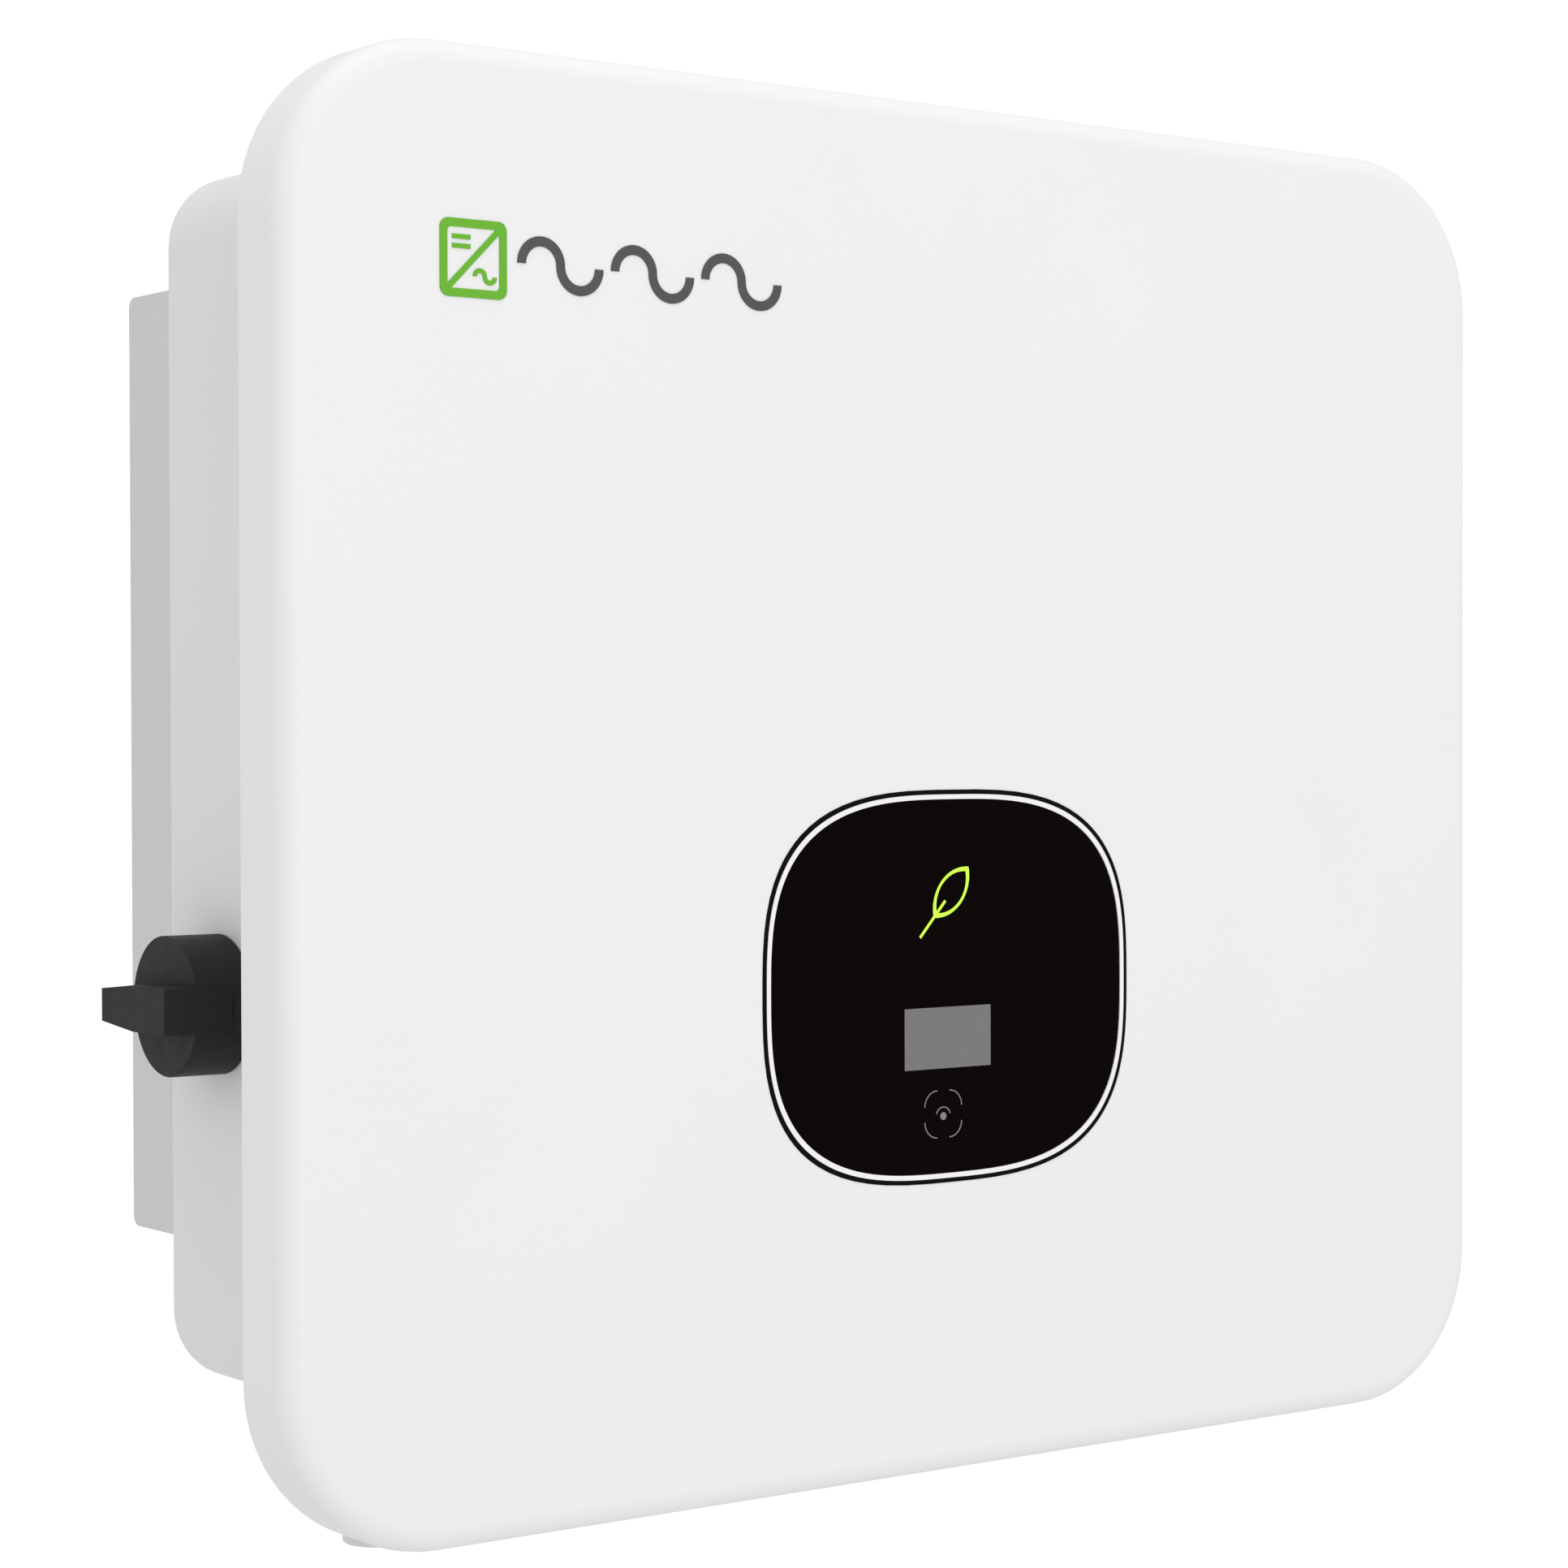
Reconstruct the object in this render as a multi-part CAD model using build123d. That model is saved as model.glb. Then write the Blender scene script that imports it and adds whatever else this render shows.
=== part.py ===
"""Three-phase string inverter hung on a wall bracket, one STEP file per piece.

Frame: origin at the centre of the bracket's hole pattern on the wall plane, +Z up,
+Y into the wall, +X to the right of someone facing the unit. Millimetres.
"""

from build123d import *
import math
import os

# ---- Overall sizes ----
unit_width = 425.0  # front cover, side to side
unit_height = 387.0  # front cover, top to bottom
unit_depth = 147.0  # cover face to fin tips
wall_gap = 12.0  # fin tips to the wall
cover_drop = 80.0  # middle of the cover below the bracket's hole centre

# ---- Clearances ----
running_gap = 0.05  # shaft in a bore, screw in a tapped hole
hole_gap = 0.3  # screw or gland through a clearance hole

# ---- Front cover ----
cover_skirt = 22.3  # depth of the side walls
cover_corner = 46.0
cover_edge_round = 6.4
cover_wall = 2.5
seal_width = 4.0
seal_thick = 2.0
seal_rib = 3.0

# ---- Housing ----
housing_side_inset = 20.0  # cover edge to housing side
housing_top_inset = 24.5
housing_bottom_inset = 32.0
housing_depth = 102.0  # cover face to the housing's back
housing_corner = 20.7
housing_wall = 3.0
housing_floor = 4.0
housing_back_round = 2.5
flange_thick = 3.0
flange_recess = 3.0  # flange's back face inside the skirt's edge
flange_gap = 2.0  # flange edge to the inside of the skirt
board_boss_radius = 4.0

# ---- Heat sink ----
sink_side_inset = 31.2  # cover edge to heat sink side
sink_top_inset = 53.5
sink_bottom_inset = 69.5
sink_base = 8.0
sink_round = 3.0
fin_thick = 2.0
outer_fin_thick = 3.5
fin_pitch = 10.0
pedestal_half_width = 130.0
pedestal_above = 42.0  # above the bracket's hole centre
pedestal_below = 75.0
pedestal_proud = 1.0
sink_seal_depth = 1.5
sink_seal_width = 3.0
sink_seal_margin = 4.0  # pedestal to its seal
sink_screw_margin = 11.5  # pedestal to the screws

# ---- Bracket and hanger rail ----
bracket_width = 240.0
bracket_below = 35.0
bracket_above = 34.0
bracket_sheet = 2.0
bracket_hole_radius = 3.5
bracket_hole_x = 180.0  # hole spacing, side to side
bracket_hole_z = 40.0  # hole spacing, top to bottom
bracket_lip = 14.0
rail_sheet = 2.5
rail_recess = 14.0  # depth of the fin cut-out that takes the rail
rail_lip = 12.0
hook_gap = 0.8  # rail lip to bracket lip
rail_bottom = 10.0
buffer_size = 24.0

# ---- Display window ----
display_drop = 55.5  # below the middle of the cover
window_half_width = 66.0
window_half_height = 55.4
window_power = 3.0  # superellipse exponent
black_line = 1.2
white_ring = 1.4
bezel_proud = 0.3
panel_thick = 2.0
carrier_thick = 1.5
carrier_margin = 4.0
screen_width = 31.2
screen_height = 17.3
screen_x = -1.2
screen_drop = 14.5  # screen centre below the window's centre
leaf_length = 19.0
leaf_width = 9.6
leaf_line = 0.9
leaf_tilt = 48.0
leaf_rise = 26.5  # leaf centre above the window's centre
touch_drop = 36.0

# ---- Isolator switch on the left wall ----
switch_back_gap = 30.4  # axis in front of the housing's back
switch_drop = 55.7  # axis below the middle of the cover
knob_radius = 18.7
knob_length = 16.4
knob_wall_gap = 0.5
knob_cavity = 4.0
lever_height = 9.5
lever_front_half = 6.1
lever_back_half = 4.35
lever_reach = 18.2
lever_skirt = 5.8  # lever's front face stops this far from the wall
shaft_radius = 4.0
isolator_length = 52.0
isolator_half_depth = 26.0
isolator_half_height = 30.0
chamber_radius = 16.0
rotor_gap = 0.4
pole_pitch = 11.0
pole_count = 4
blade_reach = 6.0  # fixed contact outside the isolator block

# ---- Connectors in the lower wall ----
port_forward = 0.65  # connector axes in front of the side wall's middle
pv_first_inset = 60.5  # first socket axis from the cover's left edge
pv_pitch = 26.0
pv_shell_radius = 9.5
pv_shell_length = 41.2
pv_bore_radius = 6.4
pv_bore_depth = 27.0
latch_from_mouth = 4.5
latch_height = 8.0
pv_tail_radius = 8.4
pv_flange_radius = 11.5
pv_pin_radius = 2.0
nut_height = 6.0
face_seal = 1.5
wire_radius = 2.5
vent_x = -42.0
com_x = 0.0
usb_x = 40.0
ac_inset = 92.5  # receptacle axis from the cover's right edge
ac_shell_radius = 20.0
ac_bore_radius = 17.0
ac_shell_length = 30.0
ac_flange = 52.0
ac_flange_thick = 4.0
ac_screw_spacing = 40.0
ac_wire_radius = 2.2
ac_tail_radius = 14.0
data_flange_radius = 14.0
data_tail_radius = 10.0
data_length = 18.0  # port below its flange's seat
data_cap_radius = 13.0
vent_tail_radius = 6.0
earth_inset = 40.0

# ---- Power board ----
board_margin = 5.0
board_bottom_margin = 38.5
board_thick = 2.0
module_height = 12.0
pad_thick = 0.5
control_gap = 25.4  # display board to the control board behind it

# ---- Screws: head radius, head height, shank radius, socket radius ----
m3 = dict(head_radius=2.7, head_height=1.8, shank_radius=1.5, socket_radius=1.2)
m4 = dict(head_radius=3.5, head_height=2.4, shank_radius=2.0, socket_radius=1.6)
m5 = dict(head_radius=4.4, head_height=3.0, shank_radius=2.5, socket_radius=2.0)

# ---- Planes that follow from the sizes ----
front_y = -(wall_gap + unit_depth)
skirt_y = front_y + cover_skirt
cover_inner_y = front_y + cover_wall
flange_back_y = skirt_y - flange_recess
flange_front_y = flange_back_y - flange_thick
housing_back_y = front_y + housing_depth
floor_y = housing_back_y - housing_floor
pedestal_y = floor_y - pedestal_proud
board_back_y = pedestal_y - pad_thick - module_height
board_front_y = board_back_y - board_thick
fin_tip_y = -wall_gap
rail_seat_y = fin_tip_y - rail_recess
rail_back_y = rail_seat_y + rail_sheet
hook_z = bracket_above + bracket_lip  # top of the bracket's lip, where the rail rests
rail_lip_y = -bracket_sheet - 5.0  # wall side of the rail's lip
bracket_lip_y = rail_lip_y - rail_sheet - hook_gap

cover_half = unit_width / 2
cover_middle_z = -cover_drop
cover_top = cover_middle_z + unit_height / 2
cover_bottom = cover_middle_z - unit_height / 2

housing_half = cover_half - housing_side_inset
housing_top = cover_top - housing_top_inset
housing_bottom = cover_bottom + housing_bottom_inset
inner_left = -housing_half + housing_wall
inner_bottom = housing_bottom + housing_wall

sink_half = cover_half - sink_side_inset
sink_top = cover_top - sink_top_inset
sink_bottom = cover_bottom + sink_bottom_inset
sink_base_y = housing_back_y + sink_base

window_z = cover_middle_z - display_drop
panel_front_y = front_y - bezel_proud + 0.3
panel_back_y = panel_front_y + panel_thick
carrier_front_y = cover_inner_y + 0.1
carrier_back_y = carrier_front_y + carrier_thick
display_board_y = carrier_back_y + 2.4
display_board_back_y = display_board_y + 1.6
control_front_y = display_board_back_y + control_gap
control_back_y = control_front_y + board_thick
control_height = board_front_y - control_back_y
screen_z = window_z - screen_drop
leaf_z = window_z + leaf_rise
touch_z = window_z - touch_drop

switch_y = housing_back_y - switch_back_gap
switch_z = cover_middle_z - switch_drop
wall_x = -housing_half
knob_face_x = wall_x - knob_length
isolator_x = inner_left + 2.5
isolator_end_x = isolator_x + isolator_length
isolator_top = switch_z + isolator_half_height
isolator_bottom = switch_z - isolator_half_height
pole_x = [isolator_x + 9.5 + pole_pitch * i for i in range(pole_count)]

port_y = (flange_back_y + housing_back_y) / 2 - port_forward
pv_x = [-cover_half + pv_first_inset + pv_pitch * i for i in range(4)]
pv_seat_z = housing_bottom - face_seal
pv_mouth_z = housing_bottom - pv_shell_length
pv_tail_z = inner_bottom + nut_height + 3.0
ac_x = cover_half - ac_inset
ac_flange_z = housing_bottom - face_seal - ac_flange_thick
ac_mouth_z = ac_flange_z - ac_shell_length
earth_x = cover_half - earth_inset

board_half = housing_half - housing_wall - board_margin
board_top = housing_top - housing_wall - board_margin
board_bottom = inner_bottom + board_bottom_margin
notch_x = isolator_end_x + 3.0
notch_z = isolator_top + 3.0
terminal_z = isolator_top + blade_reach + 8.0
ac_terminal_z = board_bottom + 22.0

# ---- Fixing points ----
cover_screw_inset = (housing_side_inset + cover_wall + flange_gap) / 2
cover_screw_points = [
    (side * (cover_half - cover_screw_inset), cover_middle_z + rise)
    for side in (-1, 1)
    for rise in (-110, 110)
]
cover_screw_points += [
    (x, cover_middle_z + end * (unit_height / 2 - cover_screw_inset))
    for end in (-1, 1)
    for x in (-120, 0, 120)
]
board_points = [
    (-board_half + 8.5, board_top - 9.0),
    (45.0, board_top - 9.0),
    (board_half - 8.5, board_top - 9.0),
    (-board_half + 8.5, notch_z + 6.0),
    (notch_x + 7.0, board_bottom + 8.0),
    (20.0, board_bottom + 8.0),
    (board_half - 8.5, board_bottom + 8.0),
]
sink_screw_points = [
    (x, z)
    for x in (-150.0, -50.0, 50.0, 150.0)
    for z in (pedestal_above + sink_screw_margin, -pedestal_below - sink_screw_margin)
]
rail_screw_points = [(x, rail_bottom + 15.0) for x in (-100.0, -35.0, 35.0, 100.0)]
display_points = [(x, window_z + z) for x in (-62.0, 62.0) for z in (-52.0, 52.0)]
control_points = [(x, z) for x in (-38.0, 78.0) for z in (board_bottom + 12.0, board_bottom + 85.0)]
ac_screw_points = [
    (ac_x + side * ac_screw_spacing / 2, port_y + end * ac_screw_spacing / 2)
    for side in (-1, 1)
    for end in (-1, 1)
]
switch_screw_offset = 12.0


# ---- Shapes used all over ----
def block(x0, x1, y0, y1, z0, z1):
    """Box between two corners."""
    middle = ((x0 + x1) / 2, (y0 + y1) / 2, (z0 + z1) / 2)
    return Pos(*middle) * Box(x1 - x0, y1 - y0, z1 - z0)


def block_on(x, z, width, height, y_back, tall):
    """Box that stands on a board or floor and reaches towards the front."""
    return block(x - width / 2, x + width / 2, y_back - tall, y_back, z - height / 2, z + height / 2)


def rod(start, direction, length, radius):
    """Round bar from a start point along a direction."""
    return extrude(Plane(origin=start, z_dir=direction) * Circle(radius), length)


def tube(start, direction, length, outer, inner):
    """Round bar with a round hole all the way through."""
    return extrude(Plane(origin=start, z_dir=direction) * (Circle(outer) - Circle(inner)), length)


def slab(outline, y_front, y_back):
    """Outline in the X-Z plane made solid between two depths."""
    return extrude(Plane.XZ.offset(-y_back) * outline, y_back - y_front)


def rounded_outline(half_width, z_low, z_high, corner):
    """Rectangle with round corners in the X-Z plane."""
    return Pos(0, (z_low + z_high) / 2) * RectangleRounded(2 * half_width, z_high - z_low, corner)


def window_outline(shrink):
    """Superellipse outline of the display, moved in by a distance all round."""
    a = window_half_width - shrink
    b = window_half_height - shrink
    points = []
    for step in range(48):
        angle = 2 * math.pi * step / 48
        c = abs(math.cos(angle)) / a
        s = abs(math.sin(angle)) / b
        reach = (c**window_power + s**window_power) ** (-1 / window_power)
        points.append((reach * math.cos(angle), window_z + reach * math.sin(angle)))
    return make_face(Spline(*points, periodic=True))


def screw(seat, direction, length, head_radius, head_height, shank_radius, socket_radius):
    """Socket screw: seat is the point under its head, direction the way it is driven."""
    axis = Plane(origin=seat, z_dir=direction)
    shank = extrude(axis * Circle(shank_radius), length)
    head = extrude(axis * Circle(head_radius), -head_height)
    drive = extrude(axis.offset(-head_height) * RegularPolygon(socket_radius, 6), 0.6 * head_height)
    return shank + head - drive


def hex_nut(start, direction, height, across_corners, hole):
    """Hexagon nut with a round hole."""
    plane = Plane(origin=start, z_dir=direction)
    return extrude(plane * (RegularPolygon(across_corners, 6) - Circle(hole)), height)


def together(pieces):
    """Like pieces kept as separate solids in one node."""
    return Compound([solid for piece in pieces for solid in piece.solids()])


def wire(points, radius):
    """Insulated wire along a route of straight runs joined by the largest arcs that fit."""
    points = [Vector(*point) for point in points]
    radii = []
    for before, corner, after in zip(points, points[1:], points[2:]):
        half_turn = math.radians((corner - before).get_angle(after - corner)) / 2
        shorter = min((corner - before).length, (after - corner).length)
        radii.append(0.45 * shorter / math.tan(half_turn))
    route = FilletPolyline(*points, radius=radii) if radii else Line(*points)
    start = Plane(origin=points[0], z_dir=points[1] - points[0])
    return sweep(start * Circle(radius), path=route)


# ---- Bracket on the wall ----
def wall_bracket():
    """Folded sheet: plate on the wall, shelf, upturned lip that the unit hangs on."""
    half = bracket_width / 2
    shelf_z = bracket_above - bracket_sheet
    lip_front_y = bracket_lip_y - bracket_sheet
    part = block(-half, half, -bracket_sheet, 0, -bracket_below, bracket_above)
    part += block(-half, half, lip_front_y, 0, shelf_z, bracket_above)
    part += block(-half, half, lip_front_y, bracket_lip_y, shelf_z, hook_z)
    edges = part.edges().filter_by(Axis.X)
    folds = [e for e in edges if math.isclose(e.center().Z, shelf_z) and e.center().Y < lip_front_y + 1]
    part = fillet(folds, bracket_sheet * 0.9)
    for x in (-bracket_hole_x / 2, bracket_hole_x / 2):
        for z in (-bracket_hole_z / 2, bracket_hole_z / 2):
            part -= rod((x, 0, z), (0, -1, 0), bracket_sheet, bracket_hole_radius)
    return part


# ---- Heat sink and what hangs it ----
def hanger_rail():
    """Folded sheet across the fins whose downturned lip hooks behind the bracket's lip."""
    half = bracket_width / 2
    top = hook_z + rail_sheet
    part = block(-half, half, rail_seat_y, rail_back_y, rail_bottom, top)
    part += block(-half, half, rail_seat_y, rail_lip_y, hook_z, top)
    part += block(-half, half, rail_lip_y - rail_sheet, rail_lip_y, hook_z - rail_lip, top)
    edges = part.edges().filter_by(Axis.X)
    folds = [e for e in edges if math.isclose(e.center().Z, top)]
    part = fillet(folds, rail_sheet * 0.9)
    for x, z in rail_screw_points:
        part -= rod((x, rail_seat_y, z), (0, 1, 0), rail_sheet, m5["shank_radius"] + hole_gap)
    return part


def hanger_screws():
    """Screws through the rail into the heat sink's bosses."""
    return together([screw((x, rail_back_y, z), (0, -1, 0), 10.0, **m5) for x, z in rail_screw_points])


def heat_sink():
    """Extruded base with upright fins, a pedestal for the modules and a cut-out for the rail."""
    middle_y = (housing_back_y + fin_tip_y) / 2
    profile = Rectangle(fin_tip_y - housing_back_y, sink_top - sink_bottom)
    profile = fillet(profile.vertices().group_by(Axis.X)[-1], sink_round)
    outline = Plane.YZ.offset(-sink_half) * Pos(middle_y, (sink_top + sink_bottom) / 2) * profile
    part = extrude(outline, 2 * sink_half)
    between = 2 * (sink_half - outer_fin_thick)
    gaps = round(between / fin_pitch)
    gap_width = (between - (gaps - 1) * fin_thick) / gaps
    boss_half = 7.0
    for i in range(gaps):
        x = -sink_half + outer_fin_thick + i * (gap_width + fin_thick)
        part -= block(x, x + gap_width, sink_base_y, fin_tip_y, sink_bottom, sink_top)
    for x, z in rail_screw_points:
        part += block_on(x, z, 2 * boss_half, 2 * boss_half, fin_tip_y, fin_tip_y - sink_base_y)
    recess_half = bracket_width / 2 + 8.0
    part -= block(-recess_half, recess_half, rail_seat_y, fin_tip_y, -bracket_below - 20.0, sink_top)
    part += slab(pedestal_outline(0), pedestal_y, housing_back_y)
    part -= sink_gasket()
    for x, z in rail_screw_points:
        part -= rod((x, rail_seat_y, z), (0, -1, 0), 11.0, m5["shank_radius"] + running_gap)
    for x, z in sink_screw_points:
        part -= rod((x, housing_back_y, z), (0, 1, 0), sink_base - 1, m5["shank_radius"] + running_gap)
    return part


def pedestal_outline(shrink):
    """Outline of the raised pad that reaches through the housing's floor."""
    low = -pedestal_below + shrink
    return rounded_outline(pedestal_half_width - shrink, low, pedestal_above - shrink, 6.0 - shrink / 2)


def sink_gasket():
    """Flat silicone cord in the groove round the pedestal."""
    ring = pedestal_outline(-sink_seal_margin - sink_seal_width) - pedestal_outline(-sink_seal_margin)
    return slab(ring, housing_back_y, housing_back_y + sink_seal_depth)


def sink_screws():
    """Screws from inside the housing into the heat sink's base."""
    return together([screw((x, floor_y, z), (0, 1, 0), 10.0, **m5) for x, z in sink_screw_points])


def rear_buffers():
    """Two rubber spacers on the fin tips that keep the lower end parallel with the wall."""
    x = sink_half - 30.0
    z = sink_bottom + buffer_size
    return together([block_on(side * x, z, buffer_size, buffer_size, 0, wall_gap) for side in (-1, 1)])


# ---- Housing and front cover ----
def cover_outline(shrink):
    """Outline of the front cover, moved in by a distance all round."""
    half = cover_half - shrink
    return rounded_outline(half, cover_bottom + shrink, cover_top - shrink, cover_corner - shrink)


def housing_outline(shrink):
    """Outline of the housing's wall, moved in by a distance all round."""
    half = housing_half - shrink
    return rounded_outline(half, housing_bottom + shrink, housing_top - shrink, housing_corner - shrink)


def housing():
    """Die-cast tray with a front flange, a floor window for the heat sink and cast bosses."""
    part = slab(housing_outline(0), flange_front_y, housing_back_y)
    part = fillet(part.faces().sort_by(Axis.Y)[-1].edges(), housing_back_round)
    part += slab(cover_outline(cover_wall + flange_gap), flange_front_y, flange_back_y)
    part -= slab(housing_outline(housing_wall), flange_front_y, floor_y)
    part -= slab(pedestal_outline(-1.0), floor_y, housing_back_y)
    for x, z in board_points:
        part += rod((x, floor_y, z), (0, -1, 0), floor_y - board_back_y, board_boss_radius)
        part -= rod((x, board_back_y, z), (0, 1, 0), 10.0, m3["shank_radius"] + running_gap)
    for x, z in sink_screw_points:
        part -= rod((x, floor_y, z), (0, 1, 0), housing_floor, m5["shank_radius"] + hole_gap)
    for x, z in cover_screw_points:
        part -= rod((x, flange_front_y, z), (0, 1, 0), flange_thick, m4["shank_radius"] + hole_gap)
    for radius, x in wall_openings():
        part -= rod((x, port_y, housing_bottom), (0, 0, 1), housing_wall, radius)
    for x, y in ac_screw_points:
        part += rod((x, y, inner_bottom), (0, 0, 1), 7.0, 4.0)
        part -= rod((x, y, housing_bottom), (0, 0, 1), 9.0, m4["shank_radius"] + running_gap)
    part += rod((earth_x, port_y, inner_bottom), (0, 0, 1), 9.0, 5.5)
    part -= rod((earth_x, port_y, housing_bottom), (0, 0, 1), 11.0, m5["shank_radius"] + running_gap)
    part -= rod((wall_x, switch_y, switch_z), (1, 0, 0), housing_wall, shaft_radius + running_gap)
    for z in (switch_z - switch_screw_offset, switch_z + switch_screw_offset):
        part -= rod((wall_x, switch_y, z), (1, 0, 0), housing_wall, m4["shank_radius"] + hole_gap)
    return part


def wall_openings():
    """Radius and place of each round opening in the lower wall."""
    openings = [(pv_tail_radius + hole_gap, x) for x in pv_x]
    openings += [(vent_tail_radius + hole_gap, vent_x), (data_tail_radius + hole_gap, com_x)]
    openings += [(data_tail_radius + hole_gap, usb_x), (ac_tail_radius + hole_gap, ac_x)]
    return openings


def front_cover():
    """Shallow lid with a soft front edge, a seal rib, screw bosses and the display window."""
    part = slab(cover_outline(0), front_y, skirt_y)
    part = fillet(part.faces().sort_by(Axis.Y)[0].edges(), cover_edge_round)
    hollow = slab(cover_outline(cover_wall), cover_inner_y, skirt_y)
    hollow = fillet(hollow.faces().sort_by(Axis.Y)[0].edges(), cover_edge_round - cover_wall)
    part -= hollow
    rib = housing_outline(housing_wall - seal_rib) - housing_outline(housing_wall)
    part += slab(rib, cover_inner_y, flange_front_y - seal_thick)
    for x, z in cover_screw_points:
        part += rod((x, cover_inner_y, z), (0, 1, 0), flange_front_y - cover_inner_y, 4.5)
        part -= rod((x, flange_front_y, z), (0, -1, 0), 9.0, m4["shank_radius"] + running_gap)
    for x, z in display_points:
        part += rod((x, cover_inner_y, z), (0, 1, 0), display_board_y - cover_inner_y, 3.5)
        part -= rod((x, display_board_y, z), (0, -1, 0), 5.0, m3["shank_radius"] + running_gap)
    part -= slab(window_outline(-0.1), front_y, cover_inner_y)
    return part


def cover_gasket():
    """Silicone seal between the cover's rib and the housing's flange."""
    margin = (seal_width - seal_rib) / 2
    ring = housing_outline(housing_wall - seal_rib - margin) - housing_outline(housing_wall + margin - 1.0)
    return slab(ring, flange_front_y - seal_thick, flange_front_y)


def cover_screws():
    """Screws driven from behind, hidden under the cover's overhang."""
    return together([screw((x, flange_back_y, z), (0, -1, 0), 10.0, **m4) for x, z in cover_screw_points])


# ---- Display ----
def display_gasket():
    """Black rubber line between the cover's opening and the bezel."""
    return slab(window_outline(0) - window_outline(black_line), front_y - 0.2, cover_inner_y)


def display_bezel():
    """White ring with the carrier plate behind it."""
    ring_inner = black_line + white_ring
    ring = window_outline(black_line + 0.05) - window_outline(ring_inner)
    part = slab(ring, front_y - bezel_proud, carrier_back_y)
    part += slab(window_outline(ring_inner - 0.1), panel_back_y + 0.1, carrier_back_y)
    part += slab(window_outline(-carrier_margin), carrier_front_y, carrier_back_y)
    for half_width, half_height, x, z in display_cells():
        part -= block_on(x, z, 2 * half_width + 1, 2 * half_height + 1, carrier_back_y + 1, 9.0)
    for x, z in carrier_posts():
        part += rod((x, carrier_back_y, z), (0, 1, 0), display_board_y - carrier_back_y, 3.0)
    for x, z in display_points:
        part -= rod((x, carrier_front_y, z), (0, 1, 0), 6.0, 3.5 + hole_gap)
    return part


def display_cells():
    """Half width, half height and centre of the screen, the leaf light and the touch pad."""
    return [(18.0, 12.0, screen_x, screen_z), (12.0, 12.0, 0.0, leaf_z), (7.0, 6.0, screen_x, touch_z)]


def carrier_posts():
    """Places of the posts between the carrier and the display board."""
    return [(x, window_z + z) for x in (-40.0, 40.0) for z in (-34.0, 34.0)]


def display_panel():
    """Black glossy window with openings for the screen and the leaf light."""
    part = slab(window_outline(black_line + white_ring + 0.05), panel_front_y, panel_back_y)
    part -= block_on(screen_x, screen_z, screen_width + 0.1, screen_height + 0.1, panel_back_y, panel_thick)
    return part - slab(leaf_outline(), panel_front_y, panel_back_y)


def leaf_outline():
    """Leaf drawn as two arcs with a straight vein, at a tilt."""
    half = leaf_length / 2
    inner = half - 1.9 * leaf_line
    inner_bulge = leaf_width / 2 - leaf_line
    vein = Pos(-half - 0.5) * Rectangle(leaf_length * 0.72, leaf_line)
    leaf = leaf_face(half, leaf_width / 2) - leaf_face(inner, inner_bulge) + vein
    return Pos(0, leaf_z) * Rot(0, 0, leaf_tilt) * leaf


def leaf_face(half, bulge):
    """Pointed oval between two arcs."""
    return make_face([ThreePointArc((-half, 0), (0, side * bulge), (half, 0)) for side in (-1, 1)])


def status_light():
    """Clear leaf-shaped inlay with the light guide behind it."""
    guide = block_on(0, leaf_z, 24.0, 24.0, display_board_y, display_board_y - panel_back_y - 0.1)
    return together([slab(leaf_outline(), panel_front_y + 0.05, panel_back_y + 0.1) + guide])


def display_screen():
    """Small graphic screen: its face fills the panel's opening, its module sits behind."""
    face = block_on(screen_x, screen_z, screen_width, screen_height, panel_back_y + 0.1, panel_thick + 0.05)
    tall = display_board_y - panel_back_y - 0.1
    return face + block_on(screen_x, screen_z, 36.0, 24.0, display_board_y, tall)


def touch_pad():
    """Conductive foam between the board and the panel's touch mark."""
    return block_on(screen_x, touch_z, 14.0, 12.0, display_board_y, display_board_y - panel_back_y)


def display_board():
    """Circuit board behind the window."""
    part = block_on(0, window_z, 136.0, 114.0, display_board_back_y, display_board_back_y - display_board_y)
    for x, z in display_points:
        part -= rod((x, display_board_y, z), (0, 1, 0), 1.6, m3["shank_radius"] + hole_gap)
    return part


def display_screws():
    """Screws through the display board into the cover."""
    return together([screw((x, display_board_back_y, z), (0, -1, 0), 6.0, **m3) for x, z in display_points])


def badge_place(x, z):
    """Point on the cover's face near its upper left corner."""
    return Pos(x - 110.0, cover_middle_z + 137.6 + z)


def front_badge():
    """Raised symbol of a converter: square, diagonal, two bars and a wave."""
    frame = RectangleRounded(20.0, 20.0, 2.5) - RectangleRounded(15.6, 15.6, 1.2)
    diagonal = Rot(0, 0, 45) * Rectangle(23.0, 1.6)
    bars = [Pos(-3.6, z) * Rectangle(5.4, 1.2) for z in (3.0, 5.4)]
    wave = Pos(3.4, -4.4) * sine_outline(1.5, 1.2)
    symbol = frame + diagonal + bars + wave
    return slab(badge_place(-47.0, 0) * symbol, front_y - 0.3, front_y)


def sine_outline(radius, line):
    """One period of a wave drawn as two half rings."""
    ring = Circle(radius + line / 2) - Circle(radius - line / 2)
    over = Pos(-radius, 0) * (ring & Pos(0, radius) * Rectangle(4 * radius, 2 * radius))
    under = Pos(radius, 0) * (ring & Pos(0, -radius) * Rectangle(4 * radius, 2 * radius))
    return over + under


def phase_marks():
    """Three raised waves, one for each phase."""
    waves = [badge_place(-20.5 + 29.0 * i, 0) * sine_outline(6.0, 2.6) for i in range(3)]
    return together([slab(wave, front_y - 0.3, front_y) for wave in waves])


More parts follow.
